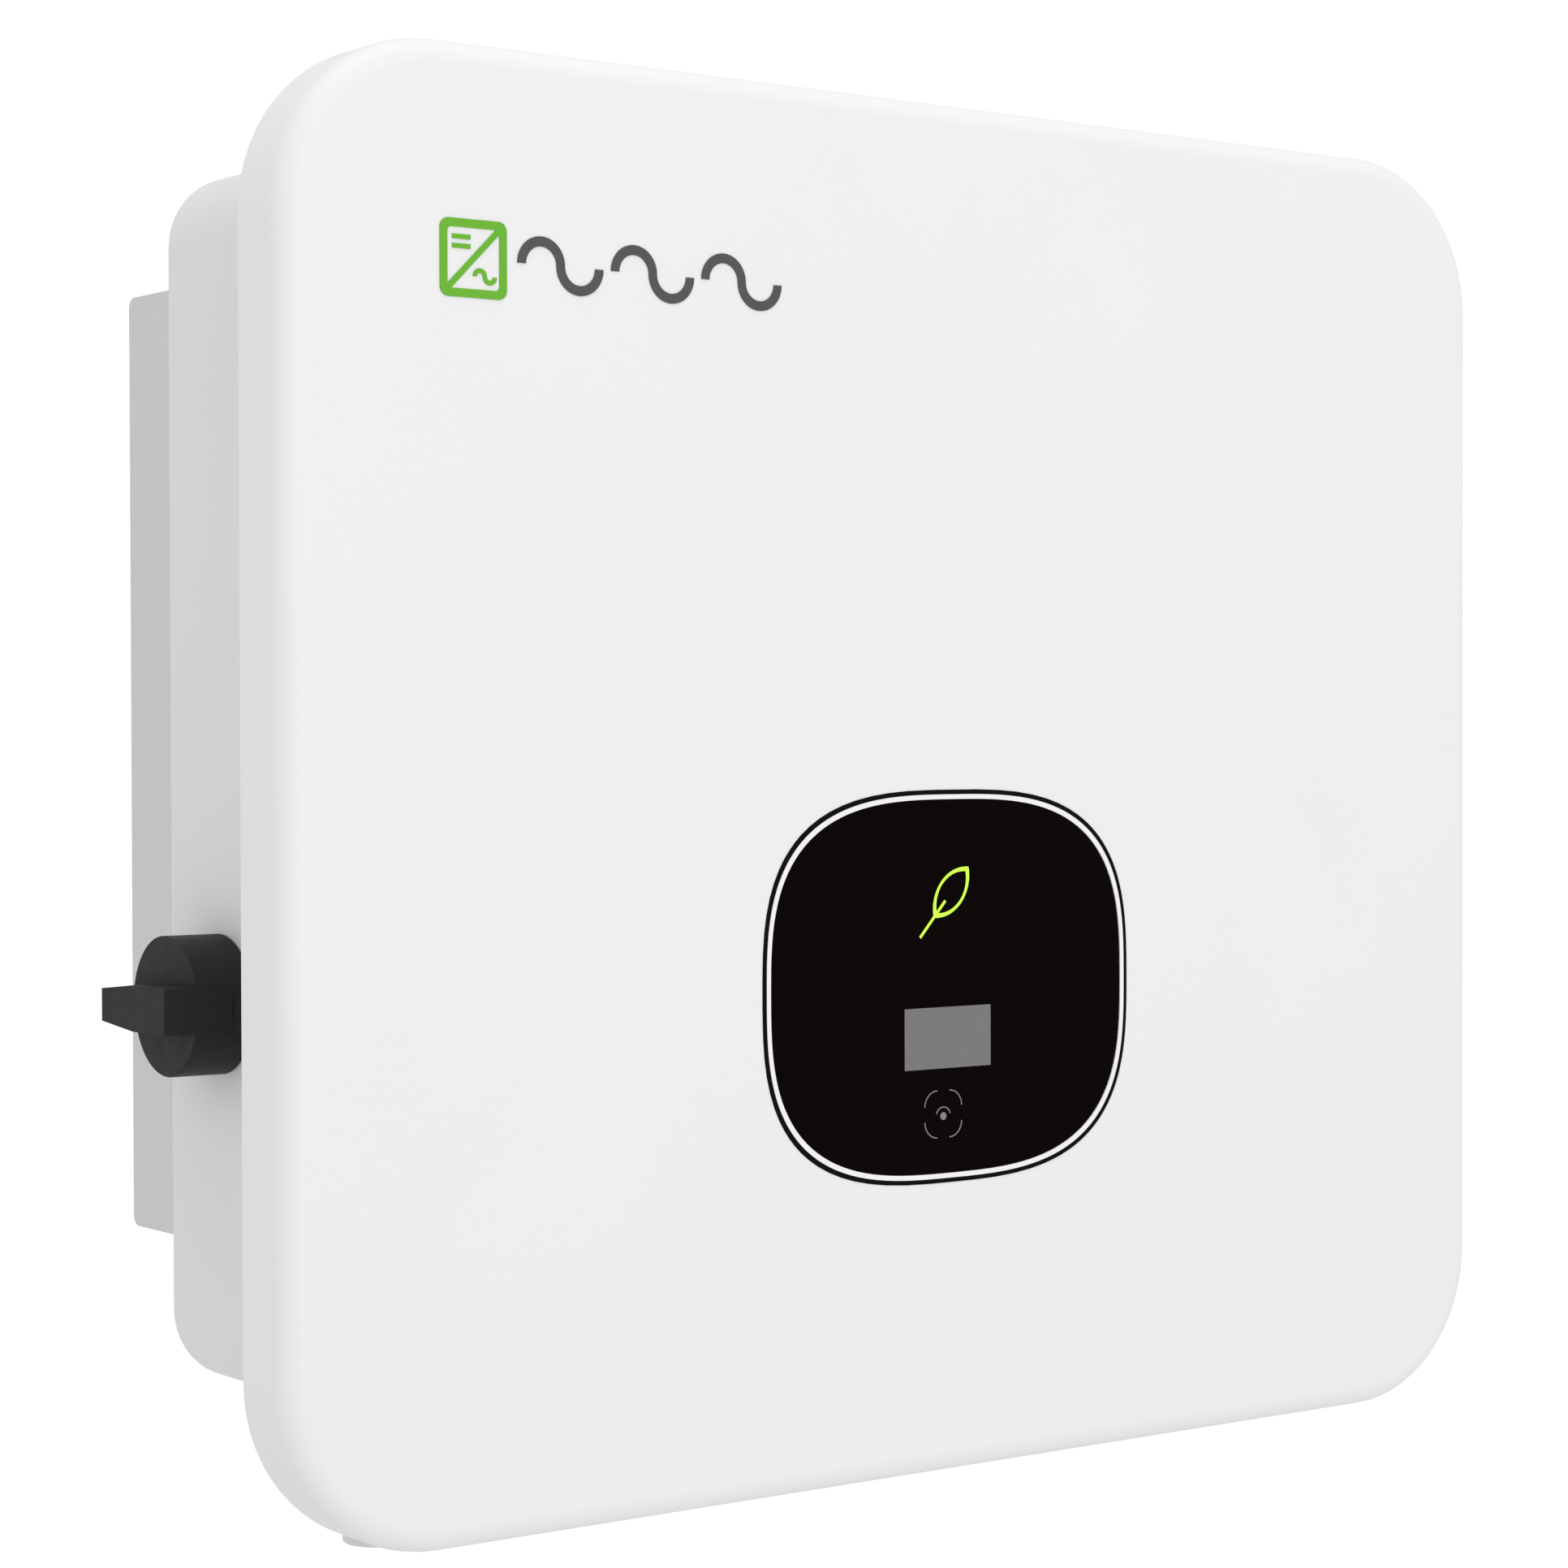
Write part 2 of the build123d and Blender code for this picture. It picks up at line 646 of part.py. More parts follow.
# ---- Isolator switch ----
def switch_knob():
    """Round handle with a tapering lever across its face; hollow over the fixing screws."""
    start_x = wall_x - knob_wall_gap
    axis = (switch_y, switch_z)
    part = rod((start_x, *axis), (-1, 0, 0), knob_length - knob_wall_gap, knob_radius)
    lever_x = knob_face_x - lever_height
    skirt_x = wall_x - lever_skirt
    notch_y = switch_y - lever_reach
    low_z = switch_z - lever_front_half
    part -= block(lever_x, skirt_x, notch_y - 5, notch_y, low_z, low_z + 2 * lever_front_half)
    outline = [
        (-lever_reach, lever_front_half),
        (0, lever_front_half),
        (lever_reach, lever_back_half),
        (lever_reach, -lever_back_half),
        (0, -lever_front_half),
        (-lever_reach, -lever_front_half),
    ]
    lever = make_face(Polyline(*outline, close=True))
    part += extrude(Plane.YZ.offset(lever_x) * Pos(*axis) * lever, knob_face_x - lever_x + 2.0)
    half_lever = Pos(-lever_reach / 2 - 2) * Rectangle(lever_reach - 4, 2 * lever_front_half)
    part += extrude(Plane.YZ.offset(lever_x) * Pos(*axis) * half_lever, skirt_x - lever_x)
    part = fillet(part.edges().filter_by(GeomType.CIRCLE).sort_by(Axis.X)[0], 0.8)
    part -= rod((start_x, *axis), (-1, 0, 0), knob_cavity, knob_radius - 2.2)
    part += rod((start_x, *axis), (-1, 0, 0), knob_cavity, shaft_radius + 3.0)
    return part - rod((start_x, *axis), (-1, 0, 0), 12.0, shaft_radius + running_gap)


def switch_shaft():
    """Steel shaft from the knob through the wall into the rotor."""
    start = (wall_x - knob_wall_gap - 11.8, switch_y, switch_z)
    return rod(start, (1, 0, 0), isolator_end_x - 5.0 - start[0], shaft_radius)


def switch_seal():
    """Rubber ring round the shaft, inside the wall."""
    bore = shaft_radius + running_gap
    return tube((inner_left, switch_y, switch_z), (1, 0, 0), isolator_x - inner_left, 9.0, bore)


def switch_body():
    """Moulded isolator block with a round chamber and slots for the fixed contacts."""
    part = block(
        isolator_x,
        isolator_end_x,
        switch_y - isolator_half_depth,
        switch_y + isolator_half_depth,
        isolator_bottom,
        isolator_top,
    )
    part -= rod((isolator_x + 3, switch_y, switch_z), (1, 0, 0), isolator_length - 6, chamber_radius)
    part -= rod((isolator_x, switch_y, switch_z), (1, 0, 0), 3.0, shaft_radius + running_gap)
    for x in pole_x:
        part -= block(x - 2.5, x + 2.5, switch_y - 4, switch_y + 4, isolator_bottom, isolator_top)
    for z in (switch_z - switch_screw_offset, switch_z + switch_screw_offset):
        part -= rod((isolator_x, switch_y, z), (1, 0, 0), 3.0, m4["shank_radius"] + running_gap)
    return part


def switch_contacts():
    """Fixed copper blades above and below the chamber, one pair for each pole."""
    inner = chamber_radius + 0.3
    outer = isolator_half_height + blade_reach
    blades = []
    for x in pole_x:
        for low, high in ((-outer, -inner), (inner, outer)):
            middle_z = switch_z + (low + high) / 2
            blades.append(block_on(x, middle_z, 5.0, high - low, switch_y + 4, 8.0))
    return together(blades)


def switch_rotor():
    """Drum on the shaft that carries the moving contacts."""
    length = isolator_length - 8
    part = rod((isolator_x + 4, switch_y, switch_z), (1, 0, 0), length, chamber_radius - rotor_gap)
    part -= rod((isolator_x + 4, switch_y, switch_z), (1, 0, 0), length, shaft_radius)
    return part - [rotor_slot(x, side) for x in pole_x for side in (-1, 1)]


def rotor_slot(x, side):
    """Pocket in the drum for one moving contact."""
    low, high = sorted((side * (shaft_radius + 1.5), side * chamber_radius))
    return block(x - 2, x + 2, switch_y - 3, switch_y + 3, switch_z + low, switch_z + high)


def rotor_contacts():
    """Copper contacts in the drum, both ends of each pole."""
    drum = rod((isolator_x, switch_y, switch_z), (1, 0, 0), isolator_length, chamber_radius - rotor_gap)
    return together([rotor_slot(x, side) & drum for x in pole_x for side in (-1, 1)])


def switch_screws():
    """Two screws through the wall into the isolator block, under the knob."""
    offsets = (-switch_screw_offset, switch_screw_offset)
    return together([screw((wall_x, switch_y, switch_z + z), (1, 0, 0), 8.0, **m4) for z in offsets])


# ---- Connectors in the lower wall ----
def pv_shell(x):
    """Panel socket: flange, round shell with a blind bore, latch notches, threaded tail."""
    part = rod((x, port_y, pv_seat_z), (0, 0, -1), 4.0, pv_flange_radius)
    part += rod((x, port_y, pv_seat_z), (0, 0, -1), pv_seat_z - pv_mouth_z, pv_shell_radius)
    part = fillet(part.faces().sort_by(Axis.Z)[0].edges(), 0.8)
    part += rod((x, port_y, pv_seat_z), (0, 0, 1), pv_tail_z - pv_seat_z, pv_tail_radius)
    part -= rod((x, port_y, pv_mouth_z), (0, 0, 1), pv_bore_depth, pv_bore_radius)
    low_z = pv_mouth_z + latch_from_mouth
    for flat_x in (x - pv_shell_radius, x + pv_shell_radius):
        part -= block(flat_x - 1.2, flat_x + 1.2, port_y - 3.5, port_y + 3.5, low_z, low_z + latch_height)
    return part


def pv_socket_plus(x):
    """Positive socket: the contact is a pin."""
    return pv_shell(x) - pv_contact(x)


def pv_socket_minus(x):
    """Negative socket: the contact is a sleeve, so the core that holds it is wider."""
    core = rod((x, port_y, pv_mouth_z + 12.0), (0, 0, 1), pv_bore_depth - 12.0, pv_pin_radius + 2.0)
    return pv_shell(x) + core - pv_contact(x)


def pv_contact(x):
    """Contact pin with its crimp barrel up through the tail."""
    barrel_z = pv_mouth_z + pv_bore_depth + 3.0
    pin = rod((x, port_y, pv_mouth_z + 11.0), (0, 0, 1), pv_bore_depth, pv_pin_radius)
    return pin + rod((x, port_y, barrel_z), (0, 0, 1), pv_tail_z - barrel_z, 3.2)


def pv_contacts():
    """Tinned copper contacts, one in each socket."""
    return together([pv_contact(x) for x in pv_x])


def pv_nuts():
    """Nuts that clamp the sockets from inside."""
    hole = pv_tail_radius + running_gap
    seats = [(x, port_y, inner_bottom) for x in pv_x]
    return together([hex_nut(seat, (0, 0, 1), nut_height, 12.0, hole) for seat in seats])


def pv_seals():
    """Rubber washers under the sockets' flanges."""
    return together([face_washer(x, pv_tail_radius + hole_gap, pv_flange_radius - 0.5) for x in pv_x])


def face_washer(x, inner, outer):
    """Flat seal between the lower wall and a connector's flange."""
    return tube((x, port_y, housing_bottom), (0, 0, -1), face_seal, outer, inner)


def pv_wires():
    """Wires from the sockets to the isolator, each string on its own pole."""
    wires = []
    for i, (socket_x, blade_x) in enumerate(zip(pv_x, pole_x)):
        blade_z = isolator_bottom - blade_reach
        bend_z = pv_tail_z + 11.5 + 4.0 * i
        route = [
            (socket_x, port_y, pv_tail_z),
            (socket_x, port_y, bend_z),
            (blade_x, switch_y, bend_z + 24.0),
            (blade_x, switch_y, blade_z),
        ]
        wires.append(wire(route, wire_radius))
    return together(wires)


def dc_wires():
    """Short wires from the isolator up to the terminal block on the power board."""
    blade_z = isolator_top + blade_reach
    routes = [[(x, switch_y, blade_z), (x, switch_y, terminal_z)] for x in pole_x]
    return together([wire(route, wire_radius) for route in routes])


def vent_valve():
    """Pressure equalising plug with a slotted cap."""
    part = rod((vent_x, port_y, housing_bottom), (0, 0, -1), 5.0, 9.0)
    part = fillet(part.faces().sort_by(Axis.Z)[0].edges(), 1.5)
    part += rod((vent_x, port_y, housing_bottom), (0, 0, 1), housing_wall + 6, vent_tail_radius)
    for turn in range(6):
        slot = Rot(0, 0, 60 * turn) * Pos(8.5, 0, 0) * Box(3.0, 2.0, 2.0)
        part -= Pos(vent_x, port_y, housing_bottom - 1.0) * slot
    return part - rod((vent_x, port_y, housing_bottom - 3), (0, 0, 1), 20.0, 2.0)


def data_port(x, socket_outline, contact_height):
    """Round port with a flange, an outer thread and an insert with a shaped socket."""
    seat_z = housing_bottom - face_seal
    part = rod((x, port_y, seat_z), (0, 0, -1), 3.0, data_flange_radius)
    mouth_z = seat_z - data_length
    part += rod((x, port_y, mouth_z), (0, 0, 1), inner_bottom + 9.0 - mouth_z, data_tail_radius)
    mouth = Plane.XY.offset(mouth_z) * Pos(x, port_y) * socket_outline
    part -= extrude(mouth, contact_height)
    return part


def com_port():
    """Signal port with a round socket."""
    return data_port(com_x, Circle(7.0), 9.0)


def usb_port():
    """Data logger port with a flat socket."""
    return data_port(usb_x, Rectangle(12.4, 5.2), 10.0)


def port_cap(x, grips):
    """Push-on cap over a port, with grip ribs round its side."""
    top = housing_bottom - face_seal - 3.0 - 0.5
    bottom = housing_bottom - face_seal - data_length - 3.0
    part = rod((x, port_y, top), (0, 0, -1), top - bottom, data_cap_radius)
    part = chamfer(part.faces().sort_by(Axis.Z)[0].edges(), 1.5)
    part -= rod((x, port_y, top), (0, 0, -1), top - bottom - 2.5, data_tail_radius + 0.3)
    for turn in range(grips):
        angle = 2 * math.pi * turn / grips
        place = Pos(x + data_cap_radius * math.cos(angle), port_y + data_cap_radius * math.sin(angle), top)
        part -= place * Cylinder(0.9, 2 * (top - bottom - 5))
    return part


def com_cap():
    """Protective cap of the signal port."""
    return port_cap(com_x, 16)


def usb_cap():
    """Protective cap of the data logger port."""
    return port_cap(usb_x, 12)


def port_seals():
    """Rubber washers under the flanges of the two small ports."""
    hole = data_tail_radius + hole_gap
    return together([face_washer(x, hole, data_flange_radius - 0.5) for x in (com_x, usb_x)])


def port_nuts():
    """Nuts inside the housing that hold the small ports and the vent."""
    sizes = [(x, 15.0, data_tail_radius) for x in (com_x, usb_x)]
    sizes.append((vent_x, 9.5, vent_tail_radius))
    nuts = []
    for x, corner, tail in sizes:
        nuts.append(hex_nut((x, port_y, inner_bottom), (0, 0, 1), 5.0, corner, tail + running_gap))
    return together(nuts)


def ac_receptacle():
    """Grid socket: square flange, round shell with a deep bore and a solid insert."""
    flange = Pos(ac_x, port_y) * RectangleRounded(ac_flange, ac_flange, 5.0)
    part = extrude(Plane.XY.offset(ac_flange_z) * flange, ac_flange_thick)
    part += rod((ac_x, port_y, ac_flange_z), (0, 0, -1), ac_shell_length, ac_shell_radius)
    part = fillet(part.faces().sort_by(Axis.Z)[0].edges(), 1.0)
    part += rod((ac_x, port_y, ac_flange_z), (0, 0, 1), inner_bottom + 12.0 - ac_flange_z, ac_tail_radius)
    part -= rod((ac_x, port_y, ac_mouth_z), (0, 0, 1), ac_shell_length - 2, ac_bore_radius)
    for x, y in ac_screw_points:
        part -= rod((x, y, ac_flange_z), (0, 0, 1), ac_flange_thick, m4["shank_radius"] + hole_gap)
    for x, y in ac_pin_points():
        part -= rod((x, y, ac_mouth_z), (0, 0, 1), 80.0, 2.0)
    return part


def ac_pin_points():
    """Five pins on a circle, sorted from left to right."""
    angles = [math.radians(18 + 72 * i) for i in range(5)]
    points = [(ac_x + 9 * math.cos(a), port_y + 9 * math.sin(a)) for a in angles]
    return sorted(points)


def ac_pins():
    """Silver plated pins of the grid socket."""
    length = inner_bottom + 12.0 - ac_mouth_z - 12.0
    return together([rod((x, y, ac_mouth_z + 12.0), (0, 0, 1), length, 2.0) for x, y in ac_pin_points()])


def ac_gasket():
    """Flat seal under the grid socket's flange."""
    outline = RectangleRounded(ac_flange - 1, ac_flange - 1, 4.5) - Circle(ac_tail_radius + hole_gap)
    part = extrude(Plane.XY.offset(housing_bottom - face_seal) * Pos(ac_x, port_y) * outline, face_seal)
    for x, y in ac_screw_points:
        part -= rod((x, y, housing_bottom), (0, 0, -1), face_seal, m4["shank_radius"] + hole_gap)
    return part


def ac_screws():
    """Four screws that hold the grid socket."""
    return together([screw((x, y, ac_flange_z), (0, 0, 1), 14.0, **m4) for x, y in ac_screw_points])


def ac_wires():
    """Wires from the grid socket up to its terminal block."""
    wires = []
    start_z = inner_bottom + 12.0
    end_z = ac_terminal_z - 9.0
    for i, (x, y) in enumerate(ac_pin_points()):
        end_x = ac_x + 12.0 * (i - 2)
        end_y = board_front_y - 11.0
        rise = (end_z - start_z) / 3
        route = [
            (x, y, start_z),
            (x, y, start_z + rise),
            (end_x, end_y, end_z - rise),
            (end_x, end_y, end_z),
        ]
        wires.append(wire(route, ac_wire_radius))
    return together(wires)


def earth_screw():
    """Earth terminal screw with its washer."""
    seat_z = housing_bottom - 1.2
    return screw((earth_x, port_y, seat_z), (0, 0, 1), 10.0, **m5)


def earth_washer():
    """Toothed washer under the earth screw, drawn plain."""
    return tube((earth_x, port_y, housing_bottom), (0, 0, -1), 1.2, 6.5, m5["shank_radius"] + hole_gap)


# ---- Power electronics ----
def main_board():
    """Power board with a corner cut away for the isolator."""
    part = slab(rounded_outline(board_half, board_bottom, board_top, 4.0), board_front_y, board_back_y)
    part -= block(-board_half - 1, notch_x, board_front_y, board_back_y, board_bottom - 1, notch_z)
    for x, z in board_points:
        part -= rod((x, board_front_y, z), (0, 1, 0), board_thick, m3["shank_radius"] + hole_gap)
    return part


def board_screws():
    """Screws through the power board into the housing's bosses."""
    return together([screw((x, board_front_y, z), (0, 1, 0), 10.0, **m3) for x, z in board_points])


def module_places():
    """Centre and size of each power module on the pedestal."""
    z = (pedestal_above - pedestal_below) / 2
    return [(-102.0, z, 40.0, 62.0), (-54.0, z, 40.0, 62.0), (44.0, z, 108.0, 62.0)]


def power_modules():
    """Two booster modules and the three-phase bridge, pressed against the heat sink."""
    back = pedestal_y - pad_thick
    return together([block_on(x, z, w, h, back, module_height) for x, z, w, h in module_places()])


def thermal_pads():
    """Heat conducting pads between the modules and the heat sink."""
    return together([block_on(x, z, w, h, pedestal_y, pad_thick) for x, z, w, h in module_places()])


def on_board(places, tall):
    """Blocks that stand on the power board, from centre and size."""
    return together([block_on(x, z, w, h, board_front_y, tall) for x, z, w, h in places])


def boost_inductors():
    """Two potted chokes of the booster stages."""
    return on_board([(-board_half + 44.5, board_top - 36.0 - 70.0 * i, 56.0, 56.0) for i in range(2)], 50.0)


def ac_inductors():
    """Three potted chokes, one for each phase."""
    return on_board([(board_half - 44.5, board_top - 31.0 - 56.0 * i, 50.0, 50.0) for i in range(3)], 46.0)


def dc_link_capacitors():
    """Eight electrolytic cans in two rows."""
    cans = []
    for column in range(4):
        for row in range(2):
            place = (-75.0 + 33.0 * column, board_front_y, board_top - 23.0 - 34.0 * row)
            cans.append(rod(place, (0, -1, 0), 48.0, 15.0))
    return together([fillet(can.faces().sort_by(Axis.Y)[0].edges(), 1.5) for can in cans])


def film_capacitors():
    """Three film capacitors of the output filter."""
    return on_board([(76.0, board_top - 36.0 - 24.0 * i, 26.0, 18.0) for i in range(3)], 30.0)


def emi_chokes():
    """Ring chokes of the input and output filters."""
    input_ring = tube((-85.0, board_front_y, board_top - 143.0), (0, -1, 0), 18.0, 22.0, 11.0)
    output_ring = tube((55.0, board_front_y, board_top - 151.0), (0, -1, 0), 26.0, 26.0, 13.0)
    return together([input_ring, output_ring])


def grid_relays():
    """Eight relays that part the unit from the grid."""
    low_z = ac_terminal_z + 19.0
    places = [(x, low_z + 16.0 * row, 29.0, 13.0) for x in (100.0, 134.0) for row in range(4)]
    return on_board(places, 25.0)


def current_sensors():
    """Three current sensors, one for each phase."""
    return on_board([(64.0, ac_terminal_z + 19.0 + 19.0 * row, 16.0, 14.0) for row in range(3)], 22.0)


def surge_arresters():
    """Three varistor discs."""
    x = board_half - 22.0
    places = [(x, board_front_y - 11.0, ac_terminal_z + 30.0 + 21.0 * i) for i in range(3)]
    return together([rod(place, (1, 0, 0), 5.0, 9.0) for place in places])


def terminal_blocks():
    """Terminal blocks of the direct current input and the grid output."""
    dc_middle = (pole_x[0] + pole_x[-1]) / 2
    places = [(dc_middle, terminal_z + 8.0, 46.0, 16.0), (ac_x, ac_terminal_z, 64.0, 18.0)]
    return on_board(places, 18.0)


def control_board():
    """Control board carried in front of the power board."""
    low_x, low_z = control_points[0]
    high_x, high_z = control_points[-1]
    part = block(low_x - 6, high_x + 6, control_front_y, control_back_y, low_z - 6, high_z + 6)
    for x, z in control_points:
        part -= rod((x, control_front_y, z), (0, 1, 0), board_thick, m3["shank_radius"] + hole_gap)
    return part


def control_pillars():
    """Brass hexagon pillars under the control board."""
    hole = m3["shank_radius"] + running_gap
    feet = [(x, board_front_y, z) for x, z in control_points]
    return together([hex_nut(foot, (0, -1, 0), control_height, 3.5, hole) for foot in feet])


def control_screws():
    """Screws that hold the control board to its pillars."""
    return together([screw((x, control_front_y, z), (0, 1, 0), 8.0, **m3) for x, z in control_points])


def control_chips():
    """Processors and drivers on the control board."""
    places = [(0, 0, 14, 14), (28, 6, 10, 10), (-24, 14, 18, 8), (30, -20, 12, 16), (-20, -22, 22, 10)]
    x0 = (control_points[0][0] + control_points[-1][0]) / 2
    z0 = (control_points[0][1] + control_points[-1][1]) / 2
    return together([block_on(x0 + x, z0 + z, w, h, control_front_y, 2.0) for x, z, w, h in places])


def ribbon_cable():
    """Flat cable from the display board to the control board."""
    low_z = window_z - 44.0
    high_z = control_points[-1][1] - 4.0
    route = [
        Vector(-30.0, display_board_back_y, low_z),
        Vector(-30.0, display_board_back_y + 9.0, low_z),
        Vector(-30.0, control_front_y - 9.0, high_z),
        Vector(-30.0, control_front_y, high_z),
    ]
    line = FilletPolyline(*route, radius=5.0)
    start = Plane(origin=route[0], x_dir=(1, 0, 0), z_dir=(0, 1, 0))
    return sweep(start * Rectangle(12.0, 0.9), path=line)


# ---- Every piece, by the name of its node ----
pieces = {
    "wall_bracket": wall_bracket(),
    "hanger_rail": hanger_rail(),
    "hanger_screws": hanger_screws(),
    "rear_buffers": rear_buffers(),
    "heat_sink": heat_sink(),
    "sink_gasket": sink_gasket(),
    "sink_screws": sink_screws(),
    "housing": housing(),
    "front_cover": front_cover(),
    "cover_gasket": cover_gasket(),
    "cover_screws": cover_screws(),
    "front_badge": front_badge(),
    "phase_marks": phase_marks(),
    "display_gasket": display_gasket(),
    "display_bezel": display_bezel(),
    "display_panel": display_panel(),
    "display_screen": display_screen(),
    "status_light": status_light(),
    "touch_pad": touch_pad(),
    "display_board": display_board(),
    "display_screws": display_screws(),
    "ribbon_cable": ribbon_cable(),
    "switch_knob": switch_knob(),
    "switch_shaft": switch_shaft(),
    "switch_rotor": switch_rotor(),
    "rotor_contacts": rotor_contacts(),
    "switch_seal": switch_seal(),
    "switch_body": switch_body(),
    "switch_contacts": switch_contacts(),
    "switch_screws": switch_screws(),
    "pv_socket_plus_1": pv_socket_plus(pv_x[0]),
    "pv_socket_minus_1": pv_socket_minus(pv_x[1]),
    "pv_socket_plus_2": pv_socket_plus(pv_x[2]),
    "pv_socket_minus_2": pv_socket_minus(pv_x[3]),
    "pv_contacts": pv_contacts(),
    "pv_nuts": pv_nuts(),
    "pv_seals": pv_seals(),
    "pv_wires": pv_wires(),
    "dc_wires": dc_wires(),
    "vent_valve": vent_valve(),
    "com_port": com_port(),
    "com_cap": com_cap(),
    "usb_port": usb_port(),
    "usb_cap": usb_cap(),
    "port_fixings": together([port_seals(), port_nuts()]),
    "ac_receptacle": ac_receptacle(),
    "ac_pins": ac_pins(),
    "ac_gasket": ac_gasket(),
    "ac_screws": ac_screws(),
    "ac_wires": ac_wires(),
    "earth_screw": together([earth_screw(), earth_washer()]),
    "main_board": main_board(),
    "board_screws": together([board_screws(), control_screws()]),
    "power_modules": power_modules(),
    "thermal_pads": thermal_pads(),
    "inductors": together([boost_inductors(), ac_inductors(), emi_chokes()]),
    "capacitors": together([dc_link_capacitors(), film_capacitors()]),
    "relays_and_sensors": together([grid_relays(), current_sensors(), surge_arresters()]),
    "terminal_blocks": terminal_blocks(),
    "control_board": together([control_board(), control_pillars(), control_chips()]),
}

os.makedirs("parts", exist_ok=True)
for name, piece in pieces.items():
    export_step(piece, f"parts/{name}.step")
    print(name, len(piece.solids()), round(piece.volume))
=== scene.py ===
import math

import bpy
from mathutils import Matrix, Vector


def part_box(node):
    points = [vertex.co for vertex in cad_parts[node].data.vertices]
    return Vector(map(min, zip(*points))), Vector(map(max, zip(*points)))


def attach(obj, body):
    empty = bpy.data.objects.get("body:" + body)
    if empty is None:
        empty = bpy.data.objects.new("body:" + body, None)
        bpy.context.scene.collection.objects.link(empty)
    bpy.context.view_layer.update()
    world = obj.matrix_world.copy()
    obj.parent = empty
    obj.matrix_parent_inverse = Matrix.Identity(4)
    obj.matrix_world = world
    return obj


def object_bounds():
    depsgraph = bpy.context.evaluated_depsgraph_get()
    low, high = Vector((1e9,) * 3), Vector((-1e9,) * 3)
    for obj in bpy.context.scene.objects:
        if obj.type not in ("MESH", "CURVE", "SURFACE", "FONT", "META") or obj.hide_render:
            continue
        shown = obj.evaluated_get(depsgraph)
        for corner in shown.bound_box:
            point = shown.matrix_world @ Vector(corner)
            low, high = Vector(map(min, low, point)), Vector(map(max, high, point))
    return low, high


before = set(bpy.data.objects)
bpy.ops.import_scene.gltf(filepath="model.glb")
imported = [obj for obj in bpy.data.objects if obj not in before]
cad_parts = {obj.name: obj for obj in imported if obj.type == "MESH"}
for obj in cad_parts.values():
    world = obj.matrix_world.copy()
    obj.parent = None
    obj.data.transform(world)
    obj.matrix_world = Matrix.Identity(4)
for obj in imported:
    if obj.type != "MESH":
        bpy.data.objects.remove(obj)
cad_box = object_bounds()


# ---- Wall bracket and hanger rail ----
# Folded steel sheet, zinc plated and passivated: a pale blue-grey metal with soft, cloudy
# patches. The bracket is screwed to the wall and the rail to the heat sink's bosses.
def linear(hex_colour):
    """sRGB hex colour as linear red, green, blue and full opacity."""
    parts = [int(hex_colour[i:i + 2], 16) / 255 for i in (1, 3, 5)]
    return [p / 12.92 if p <= 0.04045 else ((p + 0.055) / 1.055) ** 2.4 for p in parts] + [1.0]


def add_node(owner, kind, inputs=None, links=None, **settings):
    """One shader node with its settings, its fixed inputs and the outputs linked to it."""
    node = owner.node_tree.nodes.new(kind)
    for name, value in settings.items():
        setattr(node, name, value)
    for name, value in (inputs or {}).items():
        node.inputs[name].default_value = value
    for name, output in (links or {}).items():
        owner.node_tree.links.new(node.inputs[name], output)
    return node


def shader_of(material):
    """The surface shader of a material."""
    return material.node_tree.nodes["Principled BSDF"]


def finish(name, light, dark, rough, cloud_mm, grain_mm, grain_depth_mm, metallic=0.0,
           ior=1.5, drawn=(1, 1, 1), specular=0.5):
    """A surface whose colour and gloss drift in clouds and whose relief is a fine grain.

    rough is its lowest and highest roughness; drawn stretches the grain along an axis.
    """
    material = bpy.data.materials.new(name)
    material.use_nodes = True
    shader = shader_of(material)
    shader.inputs["Metallic"].default_value = metallic
    shader.inputs["IOR"].default_value = ior
    shader.inputs["Specular IOR Level"].default_value = specular
    place = add_node(material, "ShaderNodeTexCoord").outputs["Object"]
    stretched = add_node(material, "ShaderNodeMapping", {"Scale": drawn}, {"Vector": place}).outputs[0]
    cloud = add_node(material, "ShaderNodeTexNoise", {"Scale": 1000 / cloud_mm, "Detail": 4.0},
                     {"Vector": stretched}).outputs[0]
    grain = add_node(material, "ShaderNodeTexNoise", {"Scale": 1000 / grain_mm, "Detail": 2.0},
                     {"Vector": stretched}).outputs[0]
    colour = add_node(material, "ShaderNodeMix", {6: linear(dark), 7: linear(light)}, {0: cloud},
                      data_type="RGBA").outputs[2]
    gloss = add_node(material, "ShaderNodeMapRange",
                     {"From Min": 0.3, "From Max": 0.7, "To Min": rough[0], "To Max": rough[1]},
                     {"Value": cloud}).outputs[0]
    relief = add_node(material, "ShaderNodeBump", {"Strength": 0.6, "Distance": grain_depth_mm / 1000},
                      {"Height": grain}).outputs[0]
    material.node_tree.links.new(shader.inputs["Base Color"], colour)
    material.node_tree.links.new(shader.inputs["Roughness"], gloss)
    material.node_tree.links.new(shader.inputs["Normal"], relief)
    return material


def place_on(material):
    """Where a point lies on the object, as the material's patterns read it."""
    return material.node_tree.nodes["Texture Coordinate"].outputs["Object"]


def masked(material, mask, inside):
    """Gives the surface another colour wherever the mask is 1."""
    shader = shader_of(material)
    under = shader.inputs["Base Color"].links[0].from_socket
    mixed = add_node(material, "ShaderNodeMix", {7: linear(inside)}, {0: mask, 6: under},
                     data_type="RGBA").outputs[2]
    material.node_tree.links.new(shader.inputs["Base Color"], mixed)


def dress(material, *names):
    """Puts the material on each named piece of the frame."""
    for name in names:
        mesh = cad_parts[name].data
        mesh.materials.clear()
        mesh.materials.append(material)


